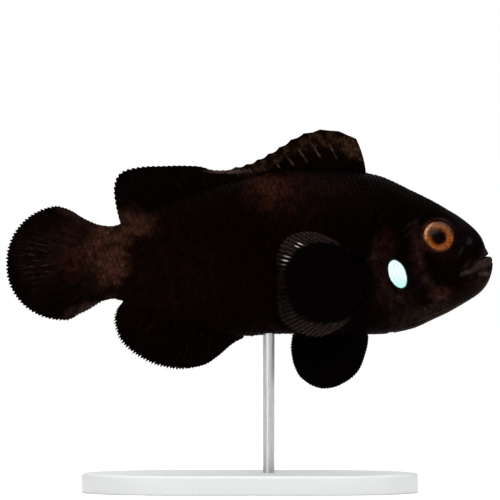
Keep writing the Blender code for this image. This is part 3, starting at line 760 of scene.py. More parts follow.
def spinyMaterial():
    material, tree, shader, at, (across, reach, ridge) = newFin("brownFin")
    uneven = times(tree, calc(tree, "SUBTRACT", noise(tree, at, 1.3 * mm, 4), 0.5), 0.5)
    height = calc(tree, "ADD", reach, uneven)
    # the brown web lies above an edge that falls at both ends, and short of the dark tips
    lowEdge = calc(tree, "MINIMUM", remap(tree, across, *spinyFin["edgeFront"]),
                   remap(tree, across, *spinyFin["edgeRear"]))
    dip = remap(tree, attribute(tree, "between"), 0.45, 0.0, 0.0, 0.10)
    zone = times(tree, remap(tree, calc(tree, "SUBTRACT", height, lowEdge), -0.10, 0.10),
                 remap(tree, calc(tree, "ADD", reach, dip), 0.99, 0.93),
                 remap(tree, noise(tree, at, 0.5 * mm), 0.25, 0.60, 0.55, 1.0),
                 remap(tree, across, 0.70, 0.94, 1.0, 0.05))
    web = blendColour(tree, remap(tree, noise(tree, at, 1.1 * mm), 0.42, 0.68), *spinyFin["webs"])
    fine = remap(tree, noise(tree, stretched(tree, at, 0.25), 0.22 * mm, 2), 0.45, 0.60)
    web = blendColour(tree, times(tree, remap(tree, across, 0.16, 0.04), fine), web, spinyFin["hairs"])
    web = blendColour(tree, zone, spinyFin["foot"], web)
    # the spines show as pale streaks halfway up
    streaks = times(tree, remap(tree, ridge, 0.05, 0.75), remap(tree, height, 0.30, 0.46),
                    remap(tree, height, 0.80, 0.58),
                    remap(tree, noise(tree, at, 1.6 * mm, 2), 0.40, 0.58, 0.25, 1.0),
                    remap(tree, across, 0.78, 0.95, 1.0, 0.3))
    made = blendColour(tree, streaks, web, spinyFin["spines"])
    feed(tree, shader, {"Base Color": fringed(tree, at, made)})
    return material


def pectoralMaterial():
    # a black disc, and round it a clear edge with pale rays that carry painted glints behind
    material, tree, shader, at, (_, _, ridge) = newFin("clearFin")
    loose = wobbled(tree, at, 1.2 * mm, 0.45 * mm)
    front = remap(tree, split(tree, loose)["X"], *[noseTip - far * length for far in clearFin["discFront"]])
    disc = most(tree, anyPatch(tree, loose, clearFin["disc"]), front)
    faint = times(tree, patchMask(tree, at, *clearFin["faint"]), clearFin["faintShare"])
    # painted glints, only round the disc's edge
    glintShare = most(tree, anyPatch(tree, at, clearFin["glints"]), faint)
    glintShare = times(tree, glintShare, anyPatch(tree, loose, clearFin["around"]))
    ray = remap(tree, ridge, 0.3, 0.8)
    rayTone = blendColour(tree, glintShare, clearFin["rays"], clearFin["glint"])
    edge = blendColour(tree, ray, clearFin["web"], rayTone)
    for middle, radii, strength, tone in clearFin["shades"].values():
        share = times(tree, patchMask(tree, loose, middle, radii), strength)
        edge = blendColour(tree, share, edge, colour(*tone))
    feed(tree, shader, {"Base Color": blendColour(tree, disc, edge, clearFin["black"]),
                        "Alpha": most(tree, disc, remap(tree, ray, 0, 1, *clearFin["clear"]))})
    return material


irisEdge = 2.9  # mm
# distance from the pupil's middle in mm, and colour: towards the back, the snout, the brow and the jaw
# towards the back, the violet at 0.9 to 1.2 mm is a painted highlight on the pupil
irisRear = {0.5: (4, 0, 0), 0.9: (18, 6, 9), 1.2: (48, 30, 32), 1.7: (76, 46, 24), 2.0: (114, 76, 46),
            2.2: (190, 142, 110), 2.35: (170, 122, 92), 2.6: (44, 18, 7), 2.8: (30, 11, 5)}
irisFront = {0.6: (6, 0, 0), 0.9: (44, 8, 0), 1.2: (108, 48, 18), 1.4: (132, 66, 30), 1.7: (118, 57, 19),
             1.95: (116, 68, 31), 2.15: (82, 46, 20), 2.35: (40, 16, 5), 2.6: (16, 4, 2)}
irisBrow = {0.6: (5, 0, 0), 0.9: (40, 13, 5), 1.25: (84, 42, 18), 1.7: (112, 70, 42), 1.9: (112, 75, 52),
            2.15: (84, 58, 44), 2.4: (42, 24, 16), 2.65: (26, 13, 9)}
irisFoot = {0.75: (10, 1, 1), 1.1: (44, 18, 4), 1.4: (90, 44, 12), 1.7: (124, 62, 14), 1.95: (134, 82, 32),
            2.1: (104, 60, 26), 2.3: (52, 20, 6), 2.5: (26, 6, 2)}
# the way each lies from the pupil (forwards, up), and how closely before it shows and fully shows
irisParts = (((0.77, -0.64), (-0.60, 0.55), irisFront), ((0.42, 0.91), (0.35, 0.95), irisBrow),
             ((-0.64, -0.77), (0.45, 0.95), irisFoot))
# a painted shadow of the brow on the iris's upper front: way, how closely it shows, reach and colour
irisBrowShadow = {"way": (0.84, 0.54), "shows": (0.80, 1.0), "reach": (1.45, 2.0, 0.0, 0.55),
             "tone": colour(46, 26, 12)}


def ringRamp(tree, away, rings):
    ramp = addNode(tree, "ShaderNodeValToRGB", {0: remap(tree, away, 0, irisEdge, kind="LINEAR")})
    points = ramp.color_ramp.elements
    for k, (distance, tone) in enumerate(rings.items()):
        point = points[k] if k < 2 else points.new(distance / irisEdge)
        point.position = distance / irisEdge
        point.color = colour(*tone)
    return ramp.outputs[0]


def eyeMaterial():
    material, tree, shader = newMaterial("eye", {"Roughness": 0.3, "Specular IOR Level": 0.008,
                                                 "Coat Weight": 0.03, "Coat Roughness": 0.03})
    spot = attribute(tree, "iris", "Vector")
    front, up, away = split(tree, spot)
    span = most(tree, away, 0.1)

    def towards(way, shows):
        # 1 where the iris lies that way from the pupil
        along = calc(tree, "ADD", times(tree, front, way[0]), times(tree, up, way[1]))
        return remap(tree, calc(tree, "DIVIDE", along, span), *shows)

    rings = ringRamp(tree, away, irisRear)
    for way, shows, tones in irisParts:
        rings = blendColour(tree, towards(way, shows), rings, ringRamp(tree, away, tones))
    # the brow's painted shadow darkens the iris's upper front
    shade = times(tree, towards(irisBrowShadow["way"], irisBrowShadow["shows"]),
                  remap(tree, away, *irisBrowShadow["reach"]))
    rings = blendColour(tree, shade, rings, irisBrowShadow["tone"])
    angle = times(tree, calc(tree, "ARCTAN2", up, front), 9.0)
    polar = addNode(tree, "ShaderNodeCombineXYZ", {0: angle, 1: away, 2: 0.0}).outputs[0]
    fibres = noise(tree, polar, 1 / 3.0, 4.0, 0.5)
    flecks = noise(tree, spot, 1 / 2.8, 2.0, 0.5)
    light = times(tree, remap(tree, fibres, 0.3, 0.7, 0.70, 1.22, "LINEAR"),
                  remap(tree, flecks, 0.36, 0.64, 0.50, 1.48, "LINEAR"))
    feed(tree, shader, {"Base Color": shaded(tree, rings, light),
                        "Normal": bumps(tree, fibres, 0.5, 0.05 * mm)})
    return material


def satinMaterial():
    material, tree, shader = newMaterial("satinBase", {"Base Color": (0.66, 0.67, 0.67, 1)})
    grain = noise(tree, place(tree), 0.30 * mm)
    feed(tree, shader, {"Roughness": remap(tree, grain, 0.3, 0.7, 0.28, 0.44),
                        "Normal": bumps(tree, grain, 0.2, 0.02 * mm)})
    return material


def steelMaterial():
    # fine strokes up and down the rod
    material, tree, shader = newMaterial("brushedSteel", {"Metallic": 1.0})
    strokes = noise(tree, stretched(tree, place(tree), 0.03), 0.15 * mm)
    tone = blendColour(tree, remap(tree, strokes, 0.35, 0.65), (0.50, 0.51, 0.52, 1), (0.62, 0.63, 0.64, 1))
    feed(tree, shader, {"Base Color": tone, "Roughness": remap(tree, strokes, 0.3, 0.7, 0.22, 0.40)})
    return material


coat = {
    "behind": (0.04, 0.12, 0.17, 0.25, 0.35, 0.60, 0.83),
    "pitch": (0.40, 0.48, 0.56, 0.70, 0.80, 0.80, 0.70),  # mm from scale to scale along a row
    "rows": (0.48, 0.58, 0.70, 0.95, 1.14, 1.08, 0.86),  # mm from row to row
    "mostRows": 44, "long": 1.9, "tall": 1.5,  # a scale's length in pitches and its height in rows
    "sunk": 0.07 * mm, "rise": 0.17 * mm, "dome": 0.035 * mm, "thick": 0.045 * mm, "teeth": 0.030 * mm,
    "columns": 11, "steps": 6, "uneven": 0.05, "seed": 7,
    "first": 0.075, "last": 0.862,
    "sideLine": {"row": 4.5, "from": 0.235, "to": 0.665, "rise": 0.055 * mm},
    "faceLine": ((-0.16, -0.09, -0.03, 0.02, 0.06, 0.10, 0.14),  # heights, and where the scales begin there
                 (0.150, 0.112, 0.096, 0.112, 0.145, 0.086, 0.09)),
    "eyeGap": 0.75 * mm,  # bare skin round the eye's opening
    "margin": 0.10 * mm, "gapAhead": 0.12 * mm, "gapBehind": 0.16 * mm,  # kept clear at a plate's edge
    "bend": (0.30, 0.12),  # how round a scale's free edge is
    "patch": (0.003, 0.0015),  # a scale's length and half height on the unwrap
    "cuts": (0.20, 0.345, 0.53, 0.70),  # where the coat is parted into pieces
}
arcStep = 0.05 * mm


def arcTables():
    # turns at equal distances down from the back, at many places along the body
    places, turns = np.linspace(0.02, skin["end"], 500), np.linspace(0, np.pi, 361)
    line = bodyPoint(*np.meshgrid(places, turns, indexing="ij"))
    far = np.cumsum(np.linalg.norm(np.diff(line, axis=1, prepend=line[:, :1]), axis=2), axis=1)
    steps = np.arange(0, 34 * mm, arcStep)
    return places, far[:, -1], np.array([np.interp(steps, row, turns) for row in far])


arcPlaces, arcWhole, arcTurns = arcTables()


def turnDown(behind, down):
    # the turn at a distance down the flank from the middle of the back
    whole = np.interp(behind, arcPlaces, arcWhole)
    folded = np.where(down > whole, 2 * whole - down, np.abs(down))
    i = np.clip((behind - arcPlaces[0]) / (arcPlaces[1] - arcPlaces[0]), 0, len(arcPlaces) - 1.001)
    k = np.clip(folded / arcStep, 0, arcTurns.shape[1] - 1.001)
    a, b = i.astype(int), k.astype(int)
    i, k = i - a, k - b
    turn = ((arcTurns[a, b] * (1 - k) + arcTurns[a, b + 1] * k) * (1 - i)
            + (arcTurns[a + 1, b] * (1 - k) + arcTurns[a + 1, b + 1] * k) * i)
    return np.where(down > whole, 2 * np.pi - turn, np.where(down < 0, -turn, turn))


def pitchAt(behind):
    return np.interp(behind, coat["behind"], coat["pitch"]) * mm


def rowGap(behind):
    return np.interp(behind, coat["behind"], coat["rows"]) * mm


def heightOn(behind, row):
    # how high a row of scales lies, above the axis
    return (bodyPoint(behind, turnDown(behind, row * rowGap(behind)))[:, 2] - axisHeight) / length


def scalePlaces():
    # where each scale is rooted: behind and row, in rows set half a pitch apart
    fine = np.linspace(0.04, coat["last"], 4000)
    count = np.concatenate([[0], np.cumsum(np.diff(fine) * length / pitchAt(fine)[1:])])
    whole = np.interp(fine, arcPlaces, arcWhole)
    rows, places = [], []
    for row in range(coat["mostRows"]):
        at = np.interp(np.arange(row % 2 * 0.5, count[-1], 1.0), count, fine)
        inside = (row + 0.5) * rowGap(at) < np.interp(at, fine, whole) + 0.15 * rowGap(at)
        at = at[inside & (at > coat["first"])]
        rows.append(np.full(len(at), row + 0.5))
        places.append(at)
    return np.concatenate(places), np.concatenate(rows)


def scalesKept(behind, row):
    # move scales off the gill and cheek edges, and leave the snout and the eye's rim bare
    size, margin = pitchAt(behind) * coat["long"], coat["margin"]
    for offEdge, low, high in ((gillOff, -0.16, gill["top"]), (cheekOff, -0.09, 0.065)):
        for _ in range(2):
            height = heightOn(behind, row)
            start = offEdge(behind, height)
            crosses = (height > low) & (height < high) & (start < margin) & (start + size > -margin)
            back = start + size + coat["gapAhead"]
            ahead = coat["gapBehind"] - start
            move = np.where(back < ahead * 1.6, -back, ahead)
            behind = behind + np.where(crosses, move, 0) / length
    points = bodyPoint(behind + 0.4 * size / length, turnDown(behind, row * rowGap(behind)))
    nearEye = eyeOff(points) < orbit["opening"] + coat["eyeGap"]
    past = behind - np.interp((points[:, 2] - axisHeight) / length, *coat["faceLine"])
    kept = (past > 0) & ~nearEye & (behind < coat["last"])
    return behind[kept], row[kept], rise(past, -0.010, 0.030)[kept]


def scaleShape():
    # one scale: places along it (0 to 1) and across it (-1 to 1), 1 if underneath, 1 at a tooth, and faces
    steps, columns = coat["steps"], coat["columns"]
    grids = np.meshgrid(np.linspace(0, 1, steps), np.linspace(-1, 1, columns), indexing="ij")
    rim = gridRim(steps, columns)
    reach, across = (np.concatenate([grid.ravel(), grid.ravel()[rim], [middle]])
                     for grid, middle in zip(grids, (0.5, 0.0)))
    size, ring = steps * columns, np.arange(len(rim))
    under = np.concatenate([np.zeros(size), np.ones(len(rim) + 1)])
    column = np.round((across + 1) / 2 * (columns - 1))
    tooth = (column % 2 == 0) * (reach > 0.99)
    after = size + np.roll(ring, -1)
    wall = np.stack([rim, size + ring, after, np.roll(rim, -1)], axis=1)
    floorFan = np.stack([size + ring, np.full(len(rim), size + len(rim)), after], axis=1)
    return reach, across, under, tooth, (gridFaces(steps, columns), wall, floorFan)


def makeScales(material):
    rng = np.random.default_rng(coat["seed"])
    reach, wide, under, tooth, faceSets = scaleShape()
    behind, row, proud = scalesKept(*scalePlaces())
    rounded = 1 - coat["bend"][0] * wide ** 2 - coat["bend"][1] * wide ** 4
    dome = coat["dome"] * (1 - wide ** 2) * reach - under * coat["thick"] * (1 + 0.6 * (1 - reach))
    line = coat["sideLine"]
    tube = line["rise"] * bump(wide, 0.20) * between(reach, 0.2, 0.45, 0.82, 0.98) * (under < 1)
    patch = np.stack([reach - 0.5, wide], axis=-1) * coat["patch"] * (1 + 0.15 * under)[:, None]
    bounds = (0, *coat["cuts"], 1)
    for side, word in ((1, "left"), (-1, "right")):
        for part, (low, high) in enumerate(zip(bounds, bounds[1:]), 1):
            here = (behind > low) & (behind <= high)
            root, j, out = (values[here][:, None] for values in (behind, row, proud))
            amount = len(root)
            loose = rng.normal(0, coat["uneven"], (4, amount, 1))
            long = pitchAt(root) * coat["long"] * (1 + loose[0])
            tall = rowGap(root) * coat["tall"] * (1 + loose[1])
            turn = turnDown(root, j * rowGap(root))
            step = np.linalg.norm(bodyPoint(root + 0.004, turn) - bodyPoint(root, turn), axis=-1) / 0.004
            along = long * reach * rounded - coat["teeth"] * tooth
            across = tall / 2 * wide * (0.86 + 0.14 * np.sin(np.pi * reach)) + along * loose[2] * 0.8
            s = root + along / step
            lift = coat["rise"] * (0.45 + 0.55 * out) * reach * (1 + loose[3]) - coat["sunk"] + dome
            lift = lift + tube * ((j == line["row"]) & (root > line["from"]) & (root < line["to"]))
            points = skinPoint(s, side * turnDown(s, j * rowGap(s) + across), lift)
            shade = rng.random((amount, 1))
            marks = np.stack(np.broadcast_arrays(reach, wide, shade), axis=-1)
            shift = (np.arange(amount) * len(reach))[:, None, None]
            sets = [(faces[None] + shift).reshape(-1, faces.shape[1])[:, ::side] for faces in faceSets]
            makePiece(f"scales_{word}_{part}", points, sets[:1], material,
                      uv=unwrapped(root, side * turn) + patch, values={"scale": marks.reshape(-1, 3)},
                      flatSets=sets[1:])


# a fin's plan: root is (first, last, how deep in the body) or a line of places; splits are where a ray
# parts in two (from, to, how far in ray gaps); tip is how far its teeth or spines stand out in mm, and
# teeth how many there are to a ray
rayed = {
    "first": 0.5, "columns": 16, "rows": 64, "lean": 1.0,
    "splits": ((0.35, 0.60, 0.25), (0.64, 0.88, 0.125)),
    "ray": 0.12, "rayWidth": 0.17, "web": 0.14, "pleat": 0.05,  # mm
    "rayThins": 0.6, "rayNarrows": 0.62, "webThins": 0.45, "rimThins": 0.55,  # shares lost at the edge
    "joint": 0.42, "jointDepth": 0.28,  # from joint to joint of a ray in mm, and how deep they are in it
    "uneven": 0.45, "wave": 1.62,  # how uneven the teeth are, and how fast that changes from ray to ray
}
finPlans = {
    "dorsal_fin_spiny": {
        **rayed, "rays": 9.6, "first": 0.0, "early": 0.38, "columns": 24, "rows": 60, "splits": (),
        "lean": 0.74, "tip": 0.24, "bow": 0.30, "ray": 0.17, "rayWidth": 0.21, "web": 0.16, "jointDepth": 0,
        "root": (0.2605, 0.5500, 0.5 * mm),
        "edge": ((0.2802, 0.2528), (0.3041, 0.2650), (0.3454, 0.2730), (0.3969, 0.2608), (0.4546, 0.2258),
                 (0.5000, 0.2031), (0.5433, 0.1915), (0.5500, 0.1870))},
    "dorsal_fin_soft": {
        **rayed, "rays": 15, "lean": 0.95, "tip": 0.3, "teeth": 2, "smoothTo": 0.7,
        "root": (0.5480, 0.7640, 0.6 * mm),
        "edge": ((0.5495, 0.1895), (0.5784, 0.1903), (0.6113, 0.1982), (0.6856, 0.1980), (0.7392, 0.1938),
                 (0.7694, 0.1804), (0.7796, 0.1567), (0.7770, 0.1196), (0.7693, 0.0866))},
    "anal_fin": {
        **rayed, "rays": 14, "lean": 0.90, "tip": 0.48, "teeth": 4, "smoothTo": 0.5,
        "root": (0.5140, 0.7590, 0.6 * mm),
        "edge": ((0.5124, -0.1555), (0.5371, -0.1693), (0.5680, -0.1956), (0.5969, -0.2128),
                 (0.6443, -0.2199), (0.6959, -0.2099), (0.7375, -0.1878), (0.7668, -0.1592),
                 (0.7788, -0.1217), (0.7736, -0.0960), (0.7640, -0.0850))},
    "tail_fin": {
        **rayed, "rays": 19, "rows": 76, "tip": 0.34, "teeth": 4, "ray": 0.15, "rayWidth": 0.20, "web": 0.15,
        "root": ((0.7950, 0.064), (0.8200, 0.064), (0.8330, 0.052), (0.8330, -0.055), (0.8200, -0.067),
                 (0.7950, -0.066)),
        "edge": ((0.7930, 0.0715), (0.8100, 0.0765), (0.8258, 0.0825), (0.8402, 0.0893), (0.8505, 0.0950),
                 (0.8629, 0.1033), (0.8753, 0.1093), (0.8876, 0.1134),
                 *ellipseArc((0.8864, 0.0015), (0.1148, 0.1148), 97, 175, 9),
                 *ellipseArc((0.8864, -0.0090), (0.1148, 0.1103), 185, 277, 10),
                 (0.8526, -0.1075), (0.8402, -0.1018), (0.8258, -0.0938), (0.8100, -0.0835),
                 (0.7930, -0.0735))},
    "pectoral": {
        **rayed, "rays": 14, "tip": 0.2, "teeth": 4, "ray": 0.11, "web": 0.12, "pleat": 0.06,
        "root": ((0.2575, -0.004), (0.2597, -0.078)), "sunk": 0.9 * mm, "raised": 0.55 * mm,
        "flare": 31, "cup": 0.9 * mm,
        "edge": ((0.269, 0.008), (0.306, 0.031), (0.337, 0.051), (0.382, 0.063), (0.422, 0.051),
                 (0.444, 0.019), (0.445, -0.031), (0.444, -0.056), (0.440, -0.109), (0.409, -0.138),
                 (0.366, -0.152), (0.329, -0.142), (0.293, -0.117), (0.269, -0.084))},
    "pelvic": {
        **rayed, "rays": 6, "columns": 32, "rows": 60, "splits": (*rayed["splits"], (0.80, 0.97, 0.0625)),
        "tip": 0.2, "teeth": 8, "ray": 0.13, "rayWidth": 0.19, "web": 0.15, "pleat": 0.07,
        "root": (0.2620, 0.3070, 0.7 * mm), "apart": 1.6 * mm, "splay": 15, "level": -0.147,
        "edge": ((0.2560, -0.1530), (0.2584, -0.1732), (0.2631, -0.1897), (0.2700, -0.2100),
                 (0.2800, -0.2270), (0.2975, -0.2425), (0.3229, -0.2557), (0.3495, -0.2598),
                 (0.3725, -0.2535), (0.3932, -0.2392), (0.4049, -0.2227), (0.4125, -0.1990),
                 (0.4153, -0.1732), (0.4120, -0.1480))},
}


def upright(places):
    # (behind, height) as metres along the model and up
    return np.stack([noseTip - places[:, 0] * length, axisHeight + places[:, 1] * length], axis=1)


def tipLine(plan, u, gap, off):
    # how far the edge stands out or in, in tips, at shares u along the fin
    if "teeth" not in plan:
        return (1 - 2 * np.abs(off)) ** 1.5 - 0.5  # webs cut in between the spines
    teeth = 0.5 - np.abs(2 * np.mod(off * plan["teeth"], 1) - 1)
    uneven = 1 + plan["uneven"] * np.cos(2 * np.pi * plan["wave"] * gap)
    if "smoothTo" in plan:
        uneven = uneven * (0.3 + 0.7 * rise(u, 0.2, plan["smoothTo"]))
    return teeth * uneven


def makeFin(name, plan, root, sideways, material):
    columns, rows = round(plan["rays"] * plan["columns"]) + 1, plan["rows"]
    u, r = np.linspace(0, 1, columns), np.linspace(0, 1, rows)[:, None]
    end = upright(curveThrough(plan["edge"], u ** plan["lean"]))
    start = upright(root)
    start = np.stack([np.interp(u, np.linspace(0, 1, len(start)), start[:, k]) for k in range(2)], axis=1)
    span = np.maximum(np.linalg.norm(end - start, axis=1), 0.6 * mm)
    gap = u * plan["rays"] - plan["first"] + plan.get("early", 0) * rise(u, 0, 0.05)
    off = gap - np.round(gap)  # from the nearest ray, in ray gaps
    reach = r * (1 + tipLine(plan, u, gap, off) * plan["tip"] * mm / span * rise(r, 0.6, 1))
    flat = start + (end - start) * reach[..., None]
    flat[..., 0] += plan.get("bow", 0) * mm * 4 * reach * (1 - reach) * (1 - u)
    width = np.linalg.norm(np.gradient(flat, axis=1), axis=2) * plan["columns"]
    branches = [np.zeros_like(r)]
    for low, high, apart in plan["splits"]:
        branches = [branch + way * apart * rise(r, low, high) for branch in branches for way in (1, -1)]
    away = np.min([np.abs(off - branch) for branch in branches], axis=0) * width
    ridge = bump(away, plan["rayWidth"] * mm * (1 - plan["rayNarrows"] * r))
    joints = 0.5 + 0.5 * np.cos(2 * np.pi * r * span / (plan["joint"] * mm))
    lumpy = 1 - plan["jointDepth"] * rise(joints, 0.6, 1) * rise(r, 0.25, 0.4)
    half = plan["web"] * mm / 2 * (1 - plan["webThins"] * r)
    half = half + plan["ray"] * mm * (1 - plan["rayThins"] * r) * ridge * lumpy
    half = half * (1 - plan["rimThins"] * rise(r, 0.97, 1))
    middle = sideways(u, r, flat) + plan["pleat"] * mm * np.cos(2 * np.pi * gap) * rise(r, 0.1, 0.7)
    points = [np.stack([flat[..., 0], middle + face * half, flat[..., 1]], axis=-1) for face in (-1, 1)]
    uvs = [np.stack(np.broadcast_arrays(0.01 + 0.98 * u, 0.5 + face * 0.245 * (0.02 + 0.98 * r)), axis=-1)
           for face in (-1, 1)]
    marks = np.tile(np.stack(np.broadcast_arrays(u, r, ridge), axis=-1).reshape(-1, 3), (2, 1))
    webPlace = np.tile(np.broadcast_to(np.abs(off) * 2, ridge.shape).ravel(), 2)
    size, rim = columns * rows, gridRim(rows, columns)
    after = np.roll(rim, -1)
    wall = np.stack([rim, rim + size, after + size, after], axis=1)
    right = end[columns // 2] - start[columns // 2]
    turned = np.cross(np.append(start[-1] - start[0], 0), np.append(right, 0))[2] < 0
    faces = gridFaces(rows, columns)
    sets = [faces[:, ::-1], faces + size, wall]
    if turned:
        sets = [each[:, ::-1] for each in sets]
    makePiece(name, points, sets, material, uv=uvs, values={"fin": marks, "between": webPlace},
              stands=(name,))


def rootLine(first, last, inside, above, count=60):
    # a fin's root, sunk inside the back or the belly
    behind = np.linspace(first, last, count)
    edge = np.interp(np.sqrt(behind), profileRoots, profiles[0 if above else 1])
    return np.stack([behind, edge + (-inside if above else inside) / length], axis=1)


uprightWave = {"rise": 0.4 * mm, "waves": 1.3, "start": 0.1}


def ripple(u, r, flat):
    # the upright fins wave a little towards their edge
    return uprightWave["rise"] * np.sin(2 * np.pi * (uprightWave["waves"] * u + uprightWave["start"])) * r * r


def makePectoral(side, word, material):
    plan = finPlans["pectoral"]
    root = np.linspace(*plan["root"], 60)
    onFlank = np.array([bodyPoint(np.array(b), np.array(turnAt(b, h)))[1] for b, h in root[::6]])

    def flare(u, r, flat):
        base = np.interp(u, np.linspace(0, 1, len(onFlank)), onFlank) + plan["raised"]
        back = np.maximum(noseTip - plan["root"][0][0] * length - flat[..., 0], 0)
        out = back * math.tan(math.radians(plan["flare"])) - plan["cup"] * np.sin(np.pi * r)
        return side * (base + out - plan["sunk"] * (1 - rise(r, 0.0, 0.10)))

    makeFin(f"pectoral_fin_{word}", plan, root, flare, material)


def makePelvic(side, word, material):
    plan = finPlans["pelvic"]

    def splay(u, r, flat):
        down = np.maximum(axisHeight + plan["level"] * length - flat[..., 1], 0)
        return side * (plan["apart"] + down * math.tan(math.radians(plan["splay"])))

    makeFin(f"pelvic_fin_{word}", plan, rootLine(*plan["root"], False), splay, material)


def makeFins(brown, black, jet, clear):
    for name, material, fit in (("dorsal_fin_spiny", brown, "brown_fin"),
                                ("dorsal_fin_soft", black, "black_fin"), ("anal_fin", black, "black_fin")):
        plan = finPlans[name]
        makeFin(name, plan, rootLine(*plan["root"], name != "anal_fin"), ripple, material)
    plan = finPlans["tail_fin"]
    makeFin("tail_fin", plan, curveThrough(plan["root"], np.linspace(0, 1, 80)), ripple, black)
    for side, word in ((1, "left"), (-1, "right")):
        makePectoral(side, word, clear)
        makePelvic(side, word, jet)


eyePlan = {
    "radius": 0.0413, "depth": 0.0213,  # shares of the length
    "rings": 72, "sides": 96,
    "pupilDrop": (0.20 * mm, 0.24 * mm), "dropFades": (0.6 * mm, 2.2 * mm),  # its place in the iris
    "pupilGrow": 0.12 * mm, "growFades": (0.9 * mm, 2.2 * mm),
    "uvScale": 0.16, "uvBack": 0.34,  # the back half is beside the front one
}


def makeEyes(material):
    wide, deep = eyePlan["radius"] * length, eyePlan["depth"] * length
    rings, sides = eyePlan["rings"], eyePlan["sides"]
    lean, turn = np.meshgrid(np.linspace(0, np.pi, rings)[1:-1], fullTurn(sides), indexing="ij")
    out = wide * np.sin(lean)
    ball = np.stack([out * np.cos(turn), out * np.sin(turn), deep * np.cos(lean)], axis=-1)
    ball = np.vstack([ball.reshape(-1, 3), [[0, 0, deep], [0, 0, -deep]]])
    sets = tubeFaces(rings - 2, sides)
    uv = 0.5 + eyePlan["uvScale"] * ball[:, :2] / wide
    uv = uv + np.where(ball[:, 2:] < 0, eyePlan["uvBack"], 0) * np.array([1, 0])
    for side, word in ((1, "left"), (-1, "right")):
        # the iris is off the ball's middle, and its pupil off the iris's
        iris = ball[:, :2] * np.array([-side, 1]) - np.array(orbit["shift"])
        low = 1 - rise(np.hypot(*iris.T), *eyePlan["dropFades"])
        iris = iris + np.array(eyePlan["pupilDrop"]) * low[:, None]
        away = np.hypot(*iris.T)
        away = away - eyePlan["pupilGrow"] * (1 - rise(away, *eyePlan["growFades"]))
        marks = np.column_stack([iris, away]) / mm
        eye = makePiece(f"eye_{word}", ball, sets, material, uv=uv, values={"iris": marks},
                        stands=(f"eye_{word}",))
        looks = Vector(eyeAxis * np.array([1, side, 1])).to_track_quat("Z", "Y").to_matrix().to_4x4()
        eye.matrix_world = Matrix.Translation(Vector(eyeMiddle * np.array([1, side, 1]))) @ looks


standPlan = {"corner": 64, "bevel": 0.5 * mm, "edgeSteps": 6, "rodSides": 64, "rodRings": 24}


def makeTurned(name, rings, material):
    # a solid from level rings of points, with a flat cap at each end
    count = len(rings[0])
    bottom = np.arange(count)[None, ::-1]
    top = (np.arange(count) + (len(rings) - 1) * count)[None]
    sides = gridFaces(len(rings), count, closed=True)
    makePiece(name, rings, [sides], material, flatSets=[bottom, top], stands=(name,))


def makeStand(baseMaterial, rodMaterial):
    bevel = standPlan["bevel"]
    low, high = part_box("stand_base")
    middle, half = (low + high) / 2, (high - low) / 2
    angle = fullTurn(4 * standPlan["corner"])
    turns = np.linspace(0, np.pi / 2, standPlan["edgeSteps"])
    levels = [(0.0, -bevel / 2)]  # (height, how far out), with half the bevel at the foot
    levels += [(bevel / 2 * (1 - math.sin(t)), -bevel / 2 * (1 - math.cos(t))) for t in turns[::-1]]
    levels += [(2 * half.z - bevel * (1 - math.sin(t)), -bevel * (1 - math.cos(t))) for t in turns]
    rings = []
    for height, out in levels:
        x = middle.x + (half.y + out) * np.cos(angle) + np.sign(np.cos(angle)) * (half.x - half.y)
        y = middle.y + (half.y + out) * np.sin(angle)
        rings.append(np.stack([x, y, np.full(len(angle), low.z + height)], axis=1))
    makeTurned("stand_base", rings, baseMaterial)
    low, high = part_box("stand_rod")
    middle, radius = (low + high) / 2, (high.x - low.x) / 2
    angle = fullTurn(standPlan["rodSides"])
    x, y = middle.x + radius * np.cos(angle), middle.y + radius * np.sin(angle)
    rings = [np.stack([x, y, np.full(len(angle), z)], axis=1)
             for z in np.linspace(low.z, high.z, standPlan["rodRings"])]
    makeTurned("stand_rod", rings, rodMaterial)


studio = {
    "distance": 1.0,  # from the camera to the fish
    "view": 0.07732,  # width of the picture at the fish
    "viewHeight": 0.03746,
    "sensor": 36,  # mm
    "floor": (0.93, 0.93, 0.93, 1), "floorRadius": 1.3,
    "backdropRadius": 3.4,
    "fill": 0.35,  # the dim room round the fish
    "lamps": {  # place, size, power
        "key": ((0.12, -0.45, 0.50), 0.30, 1.6),
        "front": ((-0.30, -0.60, 0.15), 0.35, 0.5),
        "top": ((0.0, 0.3, 2.3), 4.5, 95.0),
    },
}


def makeFloor():
    material, _, _ = newMaterial("paleFloor", {"Roughness": 0.8, "Base Color": studio["floor"]})
    bpy.ops.mesh.primitive_circle_add(vertices=128, radius=studio["floorRadius"], fill_type="NGON")
    floor = bpy.context.object
    floor.name = "floor"
    floor.data.materials.append(material)
    return floor


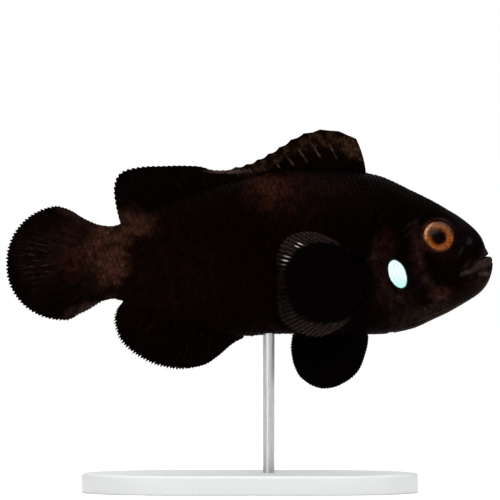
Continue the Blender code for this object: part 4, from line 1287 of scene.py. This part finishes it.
def makeBackdrop():
    # a plain white surround that casts no light
    white = bpy.data.materials.new("backdropWhite")
    white.use_nodes = True
    tree = white.node_tree
    tree.nodes.clear()
    glow = addNode(tree, "ShaderNodeEmission", {"Strength": 1.0}).outputs[0]
    addNode(tree, "ShaderNodeOutputMaterial", {0: glow})
    bpy.ops.mesh.primitive_uv_sphere_add(segments=64, ring_count=32, radius=studio["backdropRadius"])
    backdrop = bpy.context.object
    backdrop.name = "backdrop"
    backdrop.data.materials.append(white)
    backdrop.visible_diffuse = False
    backdrop.visible_glossy = False
    backdrop.visible_transmission = False
    backdrop.visible_shadow = False
    return backdrop


def makeLights():
    world = bpy.data.worlds.new("room")
    world.use_nodes = True
    world.node_tree.nodes["Background"].inputs["Color"].default_value = (1, 1, 1, 1)
    world.node_tree.nodes["Background"].inputs["Strength"].default_value = studio["fill"]
    bpy.context.scene.world = world
    aim = Vector((0, 0, studio["viewHeight"]))
    for name, (at, size, power) in studio["lamps"].items():
        data = bpy.data.lights.new(name, "AREA")
        data.shape = "DISK"
        data.size = size
        data.energy = power
        lamp = bpy.data.objects.new(name, data)
        lamp.location = at
        lamp.rotation_euler = (aim - Vector(at)).to_track_quat("-Z", "Y").to_euler()
        bpy.context.scene.collection.objects.link(lamp)


def makeCamera():
    data = bpy.data.cameras.new("camera")
    data.sensor_width = studio["sensor"]
    data.lens = studio["sensor"] * studio["distance"] / studio["view"]
    data.clip_start, data.clip_end = 0.01, 20
    camera = bpy.data.objects.new("camera", data)
    camera.location = (0, -studio["distance"], studio["viewHeight"])
    camera.rotation_euler = (math.radians(90), 0, 0)
    bpy.context.scene.collection.objects.link(camera)
    bpy.context.scene.camera = camera
    bpy.context.scene.view_settings.view_transform = "Standard"


makeCamera()
makeFloor()
makeBackdrop()
makeLights()
print("stage ready")
makeSkin(skinMaterial())
print("skin made")
makeScales(coatMaterial())
print("scales made")
# the last colour is the painted highlight on the rays
blackFin = finMaterial("blackFin", colour(3, 1, 1), colour(14, 9, 8))
jetFin = finMaterial("jetFin", colour(2, 1, 1), colour(4, 3, 3))
makeFins(spinyMaterial(), blackFin, jetFin, pectoralMaterial())
print("fins made")
makeEyes(eyeMaterial())
makeStand(satinMaterial(), steelMaterial())
print("eyes and stand made")
